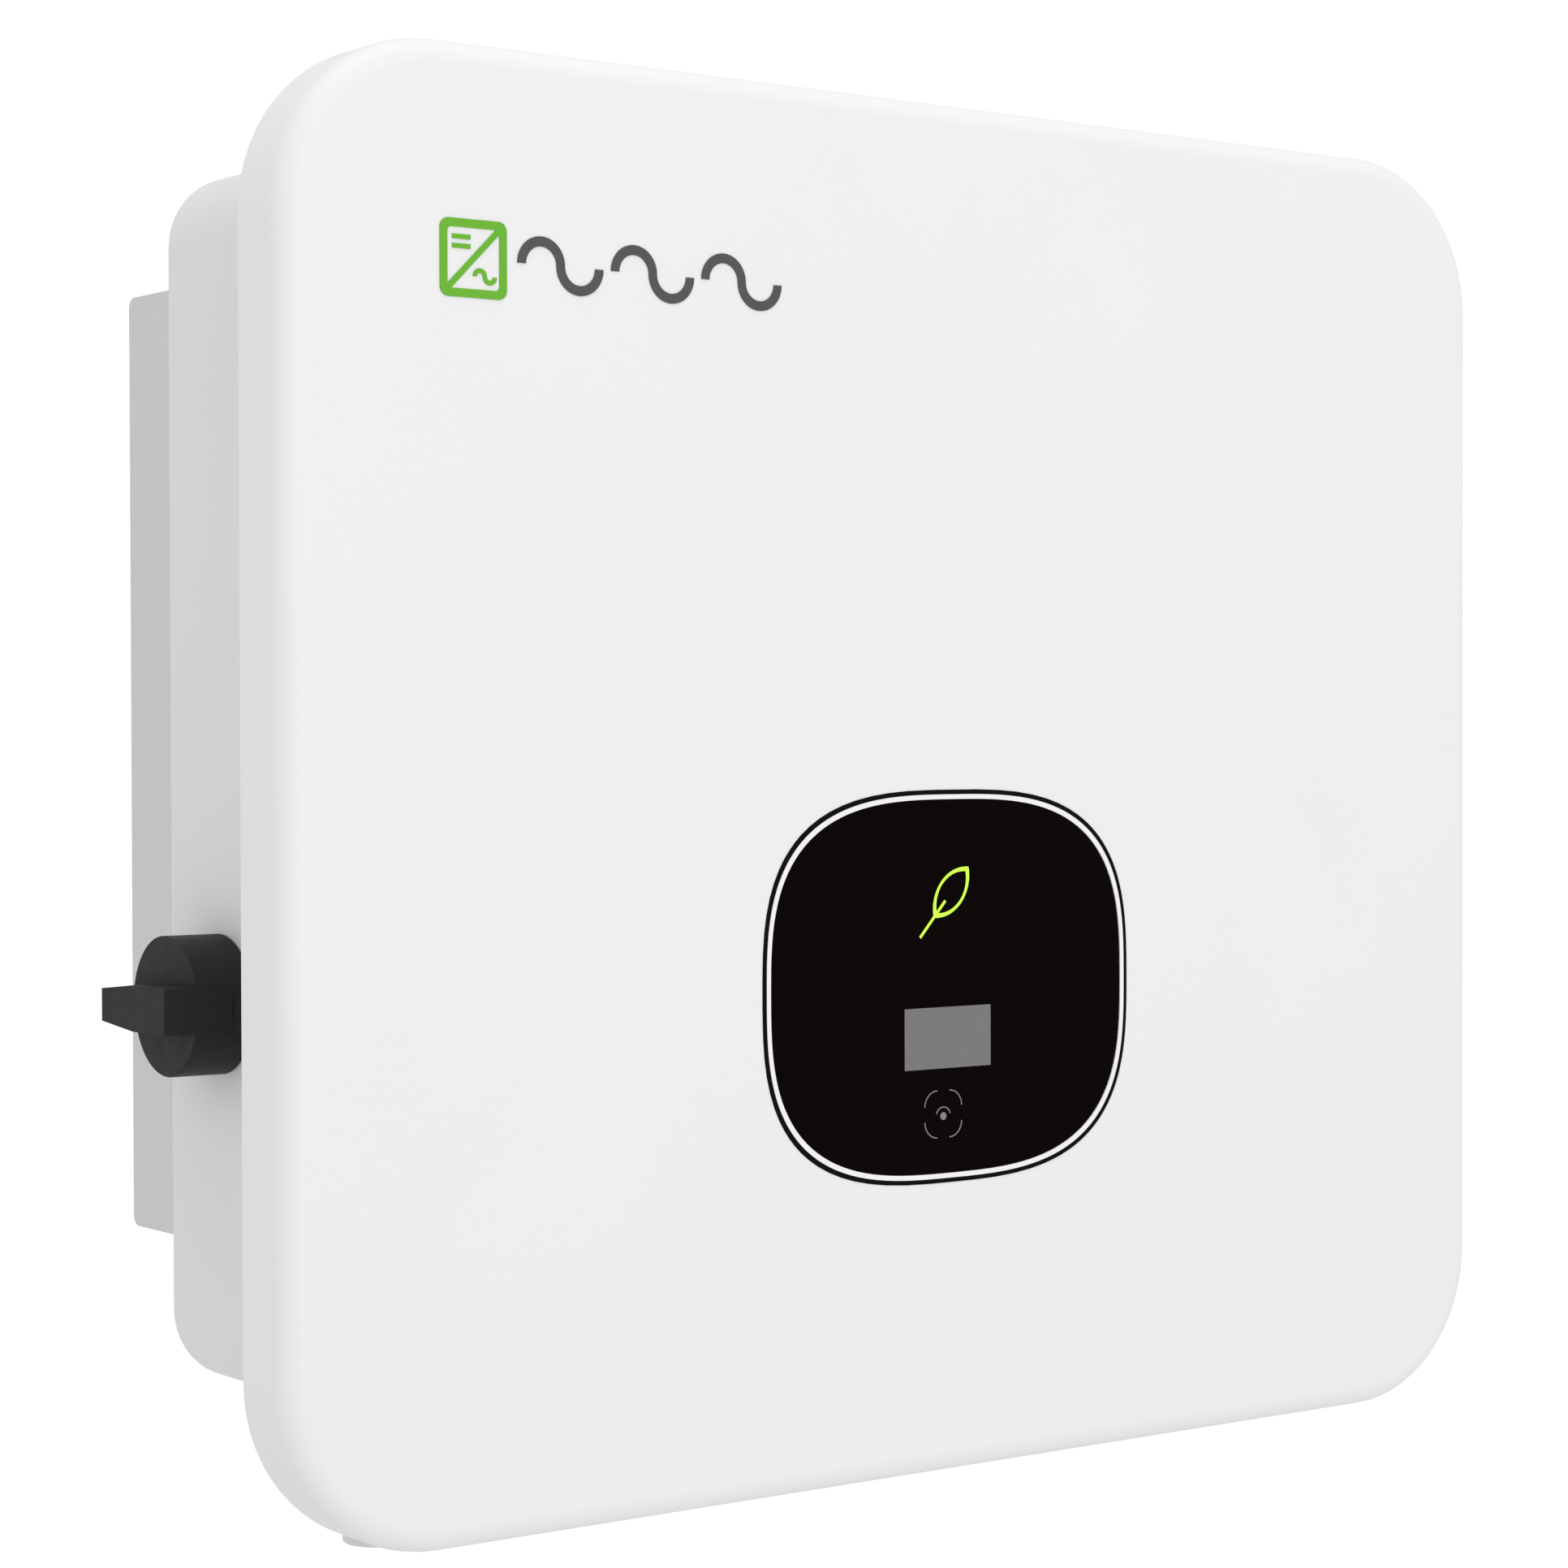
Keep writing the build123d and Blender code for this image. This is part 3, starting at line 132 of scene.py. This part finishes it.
bpy.ops.object.select_all(action="DESELECT")
zinc_plate = finish("zinc_plated_steel", "#CDD0D3", "#B4B8BC", rough=(0.30, 0.44), cloud_mm=14.0,
                    grain_mm=1.2, grain_depth_mm=0.012, metallic=1.0)
dress(zinc_plate, "wall_bracket", "hanger_rail")


# ---- Screws ----
# Machine screws in stainless steel, cold headed and rolled, and the isolator's turned
# shaft: brighter and smoother than the plated sheet.
stainless = finish("stainless_screw_steel", "#D2D2D0", "#BDBDBC", rough=(0.22, 0.34), cloud_mm=5.0,
                   grain_mm=0.6, grain_depth_mm=0.008, metallic=1.0)
dress(stainless, "hanger_screws", "sink_screws", "cover_screws", "display_screws",
      "switch_screws", "ac_screws", "board_screws", "switch_shaft")


# ---- Earth terminal ----
# Turned brass screw with a captive washer, nickel plated, in a tapped boss of the lower
# wall: a warmer and softer metal than the steel round it.
nickel = finish("nickel_plated_brass", "#D6CFBF", "#BDB49F", rough=(0.20, 0.32), cloud_mm=4.0,
                grain_mm=0.6, grain_depth_mm=0.008, metallic=1.0)
dress(nickel, "earth_screw")


# ---- Heat sink ----
# One aluminium extrusion, anodised clear after blasting: matt grey, with faint lines along
# the fins from the die. Such lines are 0.1 mm wide and drawn at 0.8 mm so that they show.
anodised = finish("anodised_aluminium_extrusion", "#DDDEDE", "#D2D3D4", rough=(0.50, 0.60),
                  cloud_mm=30.0, grain_mm=0.8, grain_depth_mm=0.010, metallic=0.55,
                  drawn=(1, 1, 0.04))
dress(anodised, "heat_sink")


# ---- Rubber parts ----
# EPDM and silicone, moulded: dull black with a dusty bloom. The two buffers on the fin tips
# keep the lower end off the wall; the rest seal lids, ports and the switch shaft.
rubber = finish("moulded_epdm_rubber", "#242424", "#181818", rough=(0.74, 0.88), cloud_mm=9.0,
                grain_mm=0.7, grain_depth_mm=0.03, ior=1.52)
dress(rubber, "rear_buffers", "sink_gasket", "cover_gasket", "switch_seal", "pv_seals",
      "ac_gasket", "port_fixings")


# ---- Housing ----
# Die-cast aluminium tray, powder coated in light grey-white: satin, with the shallow
# orange-peel waves of polyester powder about 2 mm apart.
housing_coat = finish("light_grey_polyester_powder_coat", "#E8E8E8", "#E3E3E3", rough=(0.46, 0.54),
                      cloud_mm=60.0, grain_mm=2.0, grain_depth_mm=0.022)
dress(housing_coat, "housing")


# ---- Front cover ----
# Pressed aluminium lid in white polyester powder: the same soft waves, a little glossier,
# and so even in colour that only its gloss drifts.
cover_coat = finish("white_polyester_powder_coat", "#F1F1F1", "#EEEEEE", rough=(0.40, 0.48),
                    cloud_mm=80.0, grain_mm=2.2, grain_depth_mm=0.018)
dress(cover_coat, "front_cover")


# ---- Mark in the upper left corner ----
# Converter symbol and three waves, screen printed in thick epoxy ink: green for the
# symbol and dark grey for the waves, satin, with the faint grain of the printing mesh.
green_ink = finish("green_screen_print_ink", "#6CB92A", "#65B224", rough=(0.42, 0.50), cloud_mm=4.0,
                   grain_mm=0.5, grain_depth_mm=0.010, specular=0.3)
dress(green_ink, "front_badge")
grey_ink = finish("grey_screen_print_ink", "#545251", "#4C4B4A", rough=(0.42, 0.50), cloud_mm=4.0,
                  grain_mm=0.5, grain_depth_mm=0.010, specular=0.3)
dress(grey_ink, "phase_marks")


# ---- Display surround ----
# White ABS ring, gloss moulded, set in a thin black silicone line that seals it against
# the cover's opening.
white_abs = finish("white_moulded_abs", "#F7F7F6", "#F1F1F0", rough=(0.24, 0.32), cloud_mm=12.0,
                   grain_mm=0.9, grain_depth_mm=0.006, ior=1.54)
dress(white_abs, "display_bezel")
silicone = finish("black_silicone", "#090707", "#050404", rough=(0.55, 0.68), cloud_mm=6.0,
                  grain_mm=0.6, grain_depth_mm=0.010, ior=1.41, specular=0.1)
dress(silicone, "display_gasket")


# ---- Display window ----
# Cast acrylic, printed black on its back: deep gloss over a warm black, with the very
# faint smears that wiping leaves.
acrylic = finish("back_printed_black_acrylic", "#0A0302", "#060201", rough=(0.05, 0.12),
                 cloud_mm=25.0, grain_mm=9.0, grain_depth_mm=0.001, ior=1.49, specular=0.03)
dress(acrylic, "display_panel")


# ---- Screen ----
# Reflective liquid crystal cell, switched off: mid grey behind a matt polariser, with the
# grid of its dots. The dots are 0.24 mm apart and drawn at 0.9 mm so that they show.
screen_cell = finish("unlit_liquid_crystal_cell", "#7D7D7D", "#777777", rough=(0.30, 0.38),
                     cloud_mm=7.0, grain_mm=0.8, grain_depth_mm=0.002, ior=1.49, specular=0.2)
dot_pitch = 0.0009
for direction in ("X", "Z"):
    lines = add_node(screen_cell, "ShaderNodeTexWave",
                     {"Scale": 2 * math.pi / (20 * dot_pitch)}, {"Vector": place_on(screen_cell)},
                     bands_direction=direction).outputs[1]
    thin = add_node(screen_cell, "ShaderNodeMapRange",
                    {"From Min": 0.0, "From Max": 0.12, "To Min": 0.22, "To Max": 0.0},
                    {"Value": lines}).outputs[0]
    masked(screen_cell, thin, "#666666")
dress(screen_cell, "display_screen")


# ---- Status light ----
# Lime acrylic inlay, set in the window and lit from behind by its light guide: an even
# glow over the gloss of the acrylic.
lime_light = finish("lit_lime_acrylic", "#C8F840", "#B4E82C", rough=(0.16, 0.24), cloud_mm=3.0,
                    grain_mm=0.6, grain_depth_mm=0.002, ior=1.49)
shader_of(lime_light).inputs["Emission Color"].default_value = linear("#AEEB46")
shader_of(lime_light).inputs["Emission Strength"].default_value = 0.50
dress(lime_light, "status_light")


# ---- Touch mark ----
# Four corner strokes, a finger dot and an arc over it, pad printed in pale grey ink on
# the window, in front of the sensing foam. The ink is drawn 0.15 mm thick.
touch_ink = finish("pale_pad_print_ink", "#8A8686", "#7A7676", rough=(0.45, 0.55), cloud_mm=2.0,
                   grain_mm=0.4, grain_depth_mm=0.004)
panel_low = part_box("display_panel")[0]
foam_low, foam_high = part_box("touch_pad")
touch_middle = (foam_low + foam_high) / 2
mark_left_of_foam = 0.0019
mark_width = 0.0136
corner_radius = 0.0046
corner_segments = 7
corner_stroke = 0.00030
dot_radius = 0.0011
arc_radius = 0.0027
dot_drop = 0.0006
ink_lift = 0.00002
ink_thick = 0.00015
touch_face = Vector((touch_middle.x - mark_left_of_foam, panel_low.y - ink_lift, touch_middle.z))
dot_place = touch_face - Vector((0, 0, dot_drop))
upright_turn = (math.pi / 2, 0, 0)


def thicken_print():
    """Turns the selected flat outline into ink that stands out of the front."""
    bpy.ops.mesh.select_all(action="SELECT")
    bpy.ops.mesh.extrude_region_move(TRANSFORM_OT_translate={"value": (0, -ink_thick, 0)})
    bpy.ops.mesh.select_all(action="SELECT")
    bpy.ops.mesh.normals_make_consistent(inside=False)
    bpy.ops.object.mode_set(mode="OBJECT")


def settle(name, material, body):
    """Names the active piece, puts its place into its mesh, paints it and joins it to a body."""
    piece = bpy.context.object
    piece.name = name
    bpy.ops.object.transform_apply(location=True, rotation=True, scale=True)
    piece.data.materials.clear()
    piece.data.materials.append(material)
    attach(piece, body)
    bpy.ops.object.select_all(action="DESELECT")
    return piece


bpy.ops.mesh.primitive_plane_add(size=mark_width, location=touch_face, rotation=upright_turn)
bpy.ops.object.transform_apply(location=True, rotation=True, scale=True)
bpy.ops.object.mode_set(mode="EDIT")
bpy.ops.mesh.select_all(action="SELECT")
bpy.ops.mesh.bevel(affect="VERTICES", offset=corner_radius, segments=corner_segments)
bpy.ops.mesh.select_all(action="SELECT")
bpy.ops.mesh.inset(thickness=corner_stroke)
bpy.ops.mesh.delete(type="FACE")
bpy.ops.object.mode_set(mode="OBJECT")
longest_kept = 0.0022  # the corners' short stretches stay and the straight sides go
for face in bpy.context.object.data.polygons:
    face.select = face.area > corner_stroke * longest_kept
bpy.ops.object.mode_set(mode="EDIT")
bpy.ops.mesh.select_mode(type="FACE")
bpy.ops.mesh.delete(type="FACE")
bpy.ops.mesh.select_mode(type="VERT")
thicken_print()
settle("touch_corners", touch_ink, "inverter")

bpy.ops.mesh.primitive_circle_add(vertices=32, radius=dot_radius, fill_type="NGON",
                                  location=dot_place, rotation=upright_turn)
bpy.ops.object.transform_apply(location=True, rotation=True, scale=True)
bpy.ops.object.mode_set(mode="EDIT")
thicken_print()
settle("touch_dot", touch_ink, "inverter")

bpy.ops.mesh.primitive_circle_add(vertices=48, radius=arc_radius, fill_type="NGON",
                                  location=dot_place, rotation=upright_turn)
bpy.ops.object.transform_apply(location=True, rotation=True, scale=True)
bpy.ops.object.mode_set(mode="EDIT")
bpy.ops.mesh.select_all(action="SELECT")
bpy.ops.mesh.inset(thickness=corner_stroke)
bpy.ops.mesh.delete(type="FACE")
bpy.ops.object.mode_set(mode="OBJECT")
for face in bpy.context.object.data.polygons:
    face.select = face.center.z < touch_face.z
bpy.ops.object.mode_set(mode="EDIT")
bpy.ops.mesh.select_mode(type="FACE")
bpy.ops.mesh.delete(type="FACE")
bpy.ops.mesh.select_mode(type="VERT")
thicken_print()
settle("touch_arc", touch_ink, "inverter")


# ---- Foam and heat pads ----
# Conductive foam under the touch mark and silicone pads under the power modules: soft,
# dull grey, with open pores about half a millimetre wide.
foam = finish("conductive_foam", "#55565A", "#3C3D40", rough=(0.80, 0.92), cloud_mm=2.0,
              grain_mm=0.5, grain_depth_mm=0.08)
dress(foam, "touch_pad", "thermal_pads")


# ---- Isolator handle ----
# Glass filled nylon, moulded with a spark-eroded grain and left matt: a soft charcoal. The
# grain is 0.1 mm on the real one and drawn at 0.6 mm so that it shows.
handle_nylon = finish("charcoal_glass_filled_nylon", "#262627", "#1F1F20", rough=(0.50, 0.62),
                      cloud_mm=8.0, grain_mm=0.6, grain_depth_mm=0.030, ior=1.53, specular=0.2)
dress(handle_nylon, "switch_knob")


# ---- Isolator block ----
# Polyamide block and contact drum, moulded and fixed inside the left wall by two screws:
# black and smoother than the handle.
block_nylon = finish("black_moulded_polyamide", "#1D1D1F", "#151517", rough=(0.38, 0.50),
                     cloud_mm=10.0, grain_mm=0.9, grain_depth_mm=0.012, ior=1.53)
dress(block_nylon, "switch_body", "switch_rotor")


# ---- Contacts ----
# Copper alloy, stamped or turned, then tinned or silvered: the isolator's blades stay
# copper coloured and the socket pins are pale.
copper = finish("stamped_copper", "#D9956B", "#B97750", rough=(0.24, 0.38), cloud_mm=5.0,
                grain_mm=0.5, grain_depth_mm=0.006, metallic=1.0)
dress(copper, "rotor_contacts", "switch_contacts")
silvered = finish("silver_plated_copper", "#E2DFD8", "#CFCBC2", rough=(0.16, 0.28), cloud_mm=4.0,
                  grain_mm=0.5, grain_depth_mm=0.004, metallic=1.0)
dress(silvered, "pv_contacts", "ac_pins")


# ---- String sockets ----
# Polycarbonate, moulded in light grey, with a nut inside the wall and an EPDM ring on each
# shell that seals the plug. A plus or minus sign is pad printed on the wall in front of each.
socket_grey = finish("light_grey_polycarbonate", "#DFE0E0", "#D7D8D8", rough=(0.34, 0.44),
                     cloud_mm=9.0, grain_mm=0.8, grain_depth_mm=0.010, ior=1.58)
dress(socket_grey, "pv_socket_plus_1", "pv_socket_minus_1", "pv_socket_plus_2",
      "pv_socket_minus_2", "pv_nuts")
lower_wall_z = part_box("pv_seals")[1].z
shell_radius = 0.0095
shell_ring_wire = 0.0007
ring_above_mouth = 0.0285
sign_from_axis = 0.0205
sign_stroke = 0.0014
sign_arm = 0.0026
sign_thick = 0.0003
sign_edge_round = 0.00005
for socket in ("plus_1", "minus_1", "plus_2", "minus_2"):
    low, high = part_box("pv_socket_" + socket)
    middle = (low + high) / 2
    bpy.ops.mesh.primitive_torus_add(major_radius=shell_radius, minor_radius=shell_ring_wire,
                                     major_segments=48, minor_segments=10,
                                     location=(middle.x, middle.y, low.z + ring_above_mouth))
    bpy.ops.object.shade_smooth()
    settle("seal_ring_" + socket, rubber, "inverter")

    sign_place = Vector((middle.x, middle.y - sign_from_axis, lower_wall_z))
    bpy.ops.mesh.primitive_cube_add(size=1, location=sign_place,
                                    scale=(sign_stroke, sign_stroke, sign_thick))
    bpy.ops.object.transform_apply(location=True, rotation=True, scale=True)
    sign = bpy.context.object
    arms = [Vector((1, 0, 0)), Vector((-1, 0, 0))]
    if socket.startswith("plus"):
        arms += [Vector((0, 1, 0)), Vector((0, -1, 0))]
    for arm in arms:
        bpy.ops.object.mode_set(mode="EDIT")
        bpy.ops.mesh.select_mode(type="FACE")
        bpy.ops.mesh.select_all(action="DESELECT")
        bpy.ops.object.mode_set(mode="OBJECT")
        for face in sign.data.polygons:
            at_middle = (face.center - sign_place).length < sign_stroke
            face.select = at_middle and face.normal.dot(arm) > 0.9
        bpy.ops.object.mode_set(mode="EDIT")
        bpy.ops.mesh.extrude_region_move(TRANSFORM_OT_translate={"value": tuple(arm * sign_arm)})
        bpy.ops.object.mode_set(mode="OBJECT")
    bpy.ops.object.mode_set(mode="EDIT")
    bpy.ops.mesh.select_mode(type="EDGE")
    bpy.ops.mesh.select_all(action="DESELECT")
    bpy.ops.mesh.edges_select_sharp(sharpness=math.radians(30))
    bpy.ops.mesh.bevel(offset=sign_edge_round, segments=2)
    bpy.ops.mesh.select_mode(type="VERT")
    bpy.ops.object.mode_set(mode="OBJECT")
    settle("sign_" + socket, grey_ink, "inverter")


# ---- Wires ----
# Stranded copper in cross-linked insulation, extruded smooth: red on the input side, grey
# on the grid side.
red_insulation = finish("red_wire_insulation", "#A52723", "#8E1F1C", rough=(0.36, 0.46),
                        cloud_mm=12.0, grain_mm=1.0, grain_depth_mm=0.008, ior=1.51)
dress(red_insulation, "pv_wires", "dc_wires")
grey_insulation = finish("grey_wire_insulation", "#6A6C6E", "#5B5D5F", rough=(0.36, 0.46),
                         cloud_mm=12.0, grain_mm=1.0, grain_depth_mm=0.008, ior=1.51)
dress(grey_insulation, "ac_wires", "ribbon_cable")


# ---- Vent, data ports and their caps ----
# The vent is black polyamide over a membrane. The ports are light grey polycarbonate, and
# their push-on caps are soft black elastomer with grip ribs.
dress(block_nylon, "vent_valve")
dress(socket_grey, "com_port", "usb_port")
cap_rubber = finish("black_elastomer_cap", "#222223", "#1A1A1B", rough=(0.62, 0.76), cloud_mm=7.0,
                    grain_mm=0.7, grain_depth_mm=0.020, ior=1.50)
dress(cap_rubber, "com_cap", "usb_cap")


# ---- Grid socket ----
# Five-pole receptacle for the grid plug: polyamide flange and shell, moulded matt black
# and held by four screws, with an EPDM ring at the foot of the shell.
grid_nylon = finish("matt_black_polyamide", "#262628", "#1C1C1E", rough=(0.48, 0.60), cloud_mm=10.0,
                    grain_mm=0.8, grain_depth_mm=0.020, ior=1.53)
dress(grid_nylon, "ac_receptacle")
low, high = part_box("ac_receptacle")
middle = (low + high) / 2
grid_shell_radius = 0.0200
grid_ring_wire = 0.0009
grid_ring_above_mouth = 0.0285
bpy.ops.mesh.primitive_torus_add(major_radius=grid_shell_radius, minor_radius=grid_ring_wire,
                                 major_segments=64, minor_segments=10,
                                 location=(middle.x, middle.y, low.z + grid_ring_above_mouth))
bpy.ops.object.shade_smooth()
settle("seal_ring_grid", rubber, "inverter")


# ---- Circuit boards ----
# Glass epoxy laminate under green solder mask, with copper tracks that show as paler
# green steps about 2.5 mm apart. Chips and pillars stand off the faces.
board_green = finish("green_solder_mask", "#1B5A30", "#154A27", rough=(0.26, 0.36), cloud_mm=9.0,
                     grain_mm=0.8, grain_depth_mm=0.006, ior=1.55)
flat = add_node(board_green, "ShaderNodeMapping", {"Rotation": (math.pi / 2, 0, 0)},
                {"Vector": place_on(board_green)}).outputs[0]
tracks = add_node(board_green, "ShaderNodeTexBrick",
                  {"Scale": 1.0, "Mortar Size": 0.0003, "Brick Width": 0.012, "Row Height": 0.0025,
                   "Color1": (0, 0, 0, 1), "Color2": (0, 0, 0, 1), "Mortar": (1, 1, 1, 1)},
                  {"Vector": flat}).outputs[0]
masked(board_green, tracks, "#3C8A55")
dress(board_green, "display_board", "main_board", "control_board")


# ---- Power modules ----
# Switching transistors in blocks of transfer moulded epoxy, soldered to the board and
# pressed on heat pads: near black with a fine, sandy surface.
epoxy = finish("black_moulding_epoxy", "#232325", "#19191B", rough=(0.56, 0.68), cloud_mm=5.0,
               grain_mm=0.5, grain_depth_mm=0.020, ior=1.56)
dress(epoxy, "power_modules")


# ---- Chokes ----
# Coils round cores of pressed iron powder and ferrite, potted and soldered to the board:
# dark grey, gritty and slightly metallic.
iron_powder = finish("pressed_iron_powder", "#46474A", "#323336", rough=(0.52, 0.66), cloud_mm=3.0,
                     grain_mm=0.5, grain_depth_mm=0.04, metallic=0.3)
dress(iron_powder, "inductors")


# ---- Capacitors ----
# Rolled foil in aluminium cans, soldered to the board and dressed in shrunk PVC sleeves:
# slate blue and quite glossy.
sleeve = finish("slate_pvc_sleeve", "#34405A", "#2A344A", rough=(0.20, 0.32), cloud_mm=8.0,
                grain_mm=1.5, grain_depth_mm=0.008, ior=1.53)
dress(sleeve, "capacitors")


# ---- Relays, sensors and terminal blocks ----
# Parts that switch, measure and join wires, soldered to the board under covers moulded in
# light grey PBT: a dull gloss with a fine spark-eroded grain.
light_pbt = finish("light_grey_moulded_pbt", "#B9BABA", "#ADAEAF", rough=(0.40, 0.52), cloud_mm=7.0,
                   grain_mm=0.6, grain_depth_mm=0.015, ior=1.55)
dress(light_pbt, "relays_and_sensors", "terminal_blocks")


# ---- Floor ----
# Pale painted board, as far below the unit as it would be under one on a wall, and wide
# enough to fill a view from above.
floor_paint = finish("pale_matt_floor_paint", "#F4F4F3", "#EFEFEE", rough=(0.80, 0.90),
                     cloud_mm=90.0, grain_mm=3.0, grain_depth_mm=0.02)
floor_radius = 3.0
floor_z = -2.3
bpy.ops.mesh.primitive_circle_add(vertices=96, radius=floor_radius, fill_type="NGON",
                                  location=(0, 0, floor_z))
floor = bpy.context.object
floor.name = "studio_floor"
bpy.ops.object.transform_apply(location=True, rotation=True, scale=True)
floor.data.materials.append(floor_paint)


# ---- Light ----
# An even white surround, one large soft box in front and a weaker one above.
# Plain sRGB view, so that white paint looks white.
bpy.context.scene.view_settings.view_transform = "Standard"
world = bpy.data.worlds.new("studio")
bpy.context.scene.world = world
world.use_nodes = True
surround = world.node_tree.nodes["Background"]
surround.inputs["Color"].default_value = (1, 1, 1, 1)
light_given = 0.80
light_seen_behind = 1.05
seen = add_node(world, "ShaderNodeLightPath").outputs["Is Camera Ray"]
strength = add_node(world, "ShaderNodeMapRange",
                    {"To Min": light_given, "To Max": light_seen_behind},
                    {"Value": seen}).outputs[0]
world.node_tree.links.new(surround.inputs["Strength"], strength)
middle = (Vector(cad_box[0]) + Vector(cad_box[1])) / 2
for name, lamp_place, size, watts in (("front_soft_box", (0.1, -2.1, 0.4), 1.6, 8.5),
                                      ("top_soft_box", (-0.3, -0.4, 1.6), 1.2, 5.0)):
    bpy.ops.object.light_add(type="AREA", location=lamp_place)
    lamp = bpy.context.object
    lamp.name = name
    lamp.data.size = size
    lamp.data.energy = watts
    lamp.rotation_euler = (middle - Vector(lamp_place)).to_track_quat("-Z", "Y").to_euler()


# ---- Camera ----
# A little above the unit's middle and well to its left, looking to the right and very
# slightly down through a long lens.
camera_place = (-0.6397, -0.9455, -0.0622)
yaw, pitch, roll = math.radians(36.458), math.radians(0.914), math.radians(-0.138)
ahead = Vector((math.sin(yaw) * math.cos(pitch), math.cos(yaw) * math.cos(pitch), -math.sin(pitch)))
level = Vector((math.cos(yaw), -math.sin(yaw), 0))
upright = level.cross(ahead)
right = math.cos(roll) * level + math.sin(roll) * upright
up = math.cos(roll) * upright - math.sin(roll) * level
bpy.ops.object.camera_add()
camera = bpy.context.object
camera.name = "camera"
camera.data.lens = 82.40
camera.data.sensor_width = 36.0
camera.data.clip_end = 50.0
turn = Matrix((right, up, -ahead)).transposed().to_4x4()
camera.matrix_world = Matrix.Translation(camera_place) @ turn
bpy.context.scene.camera = camera
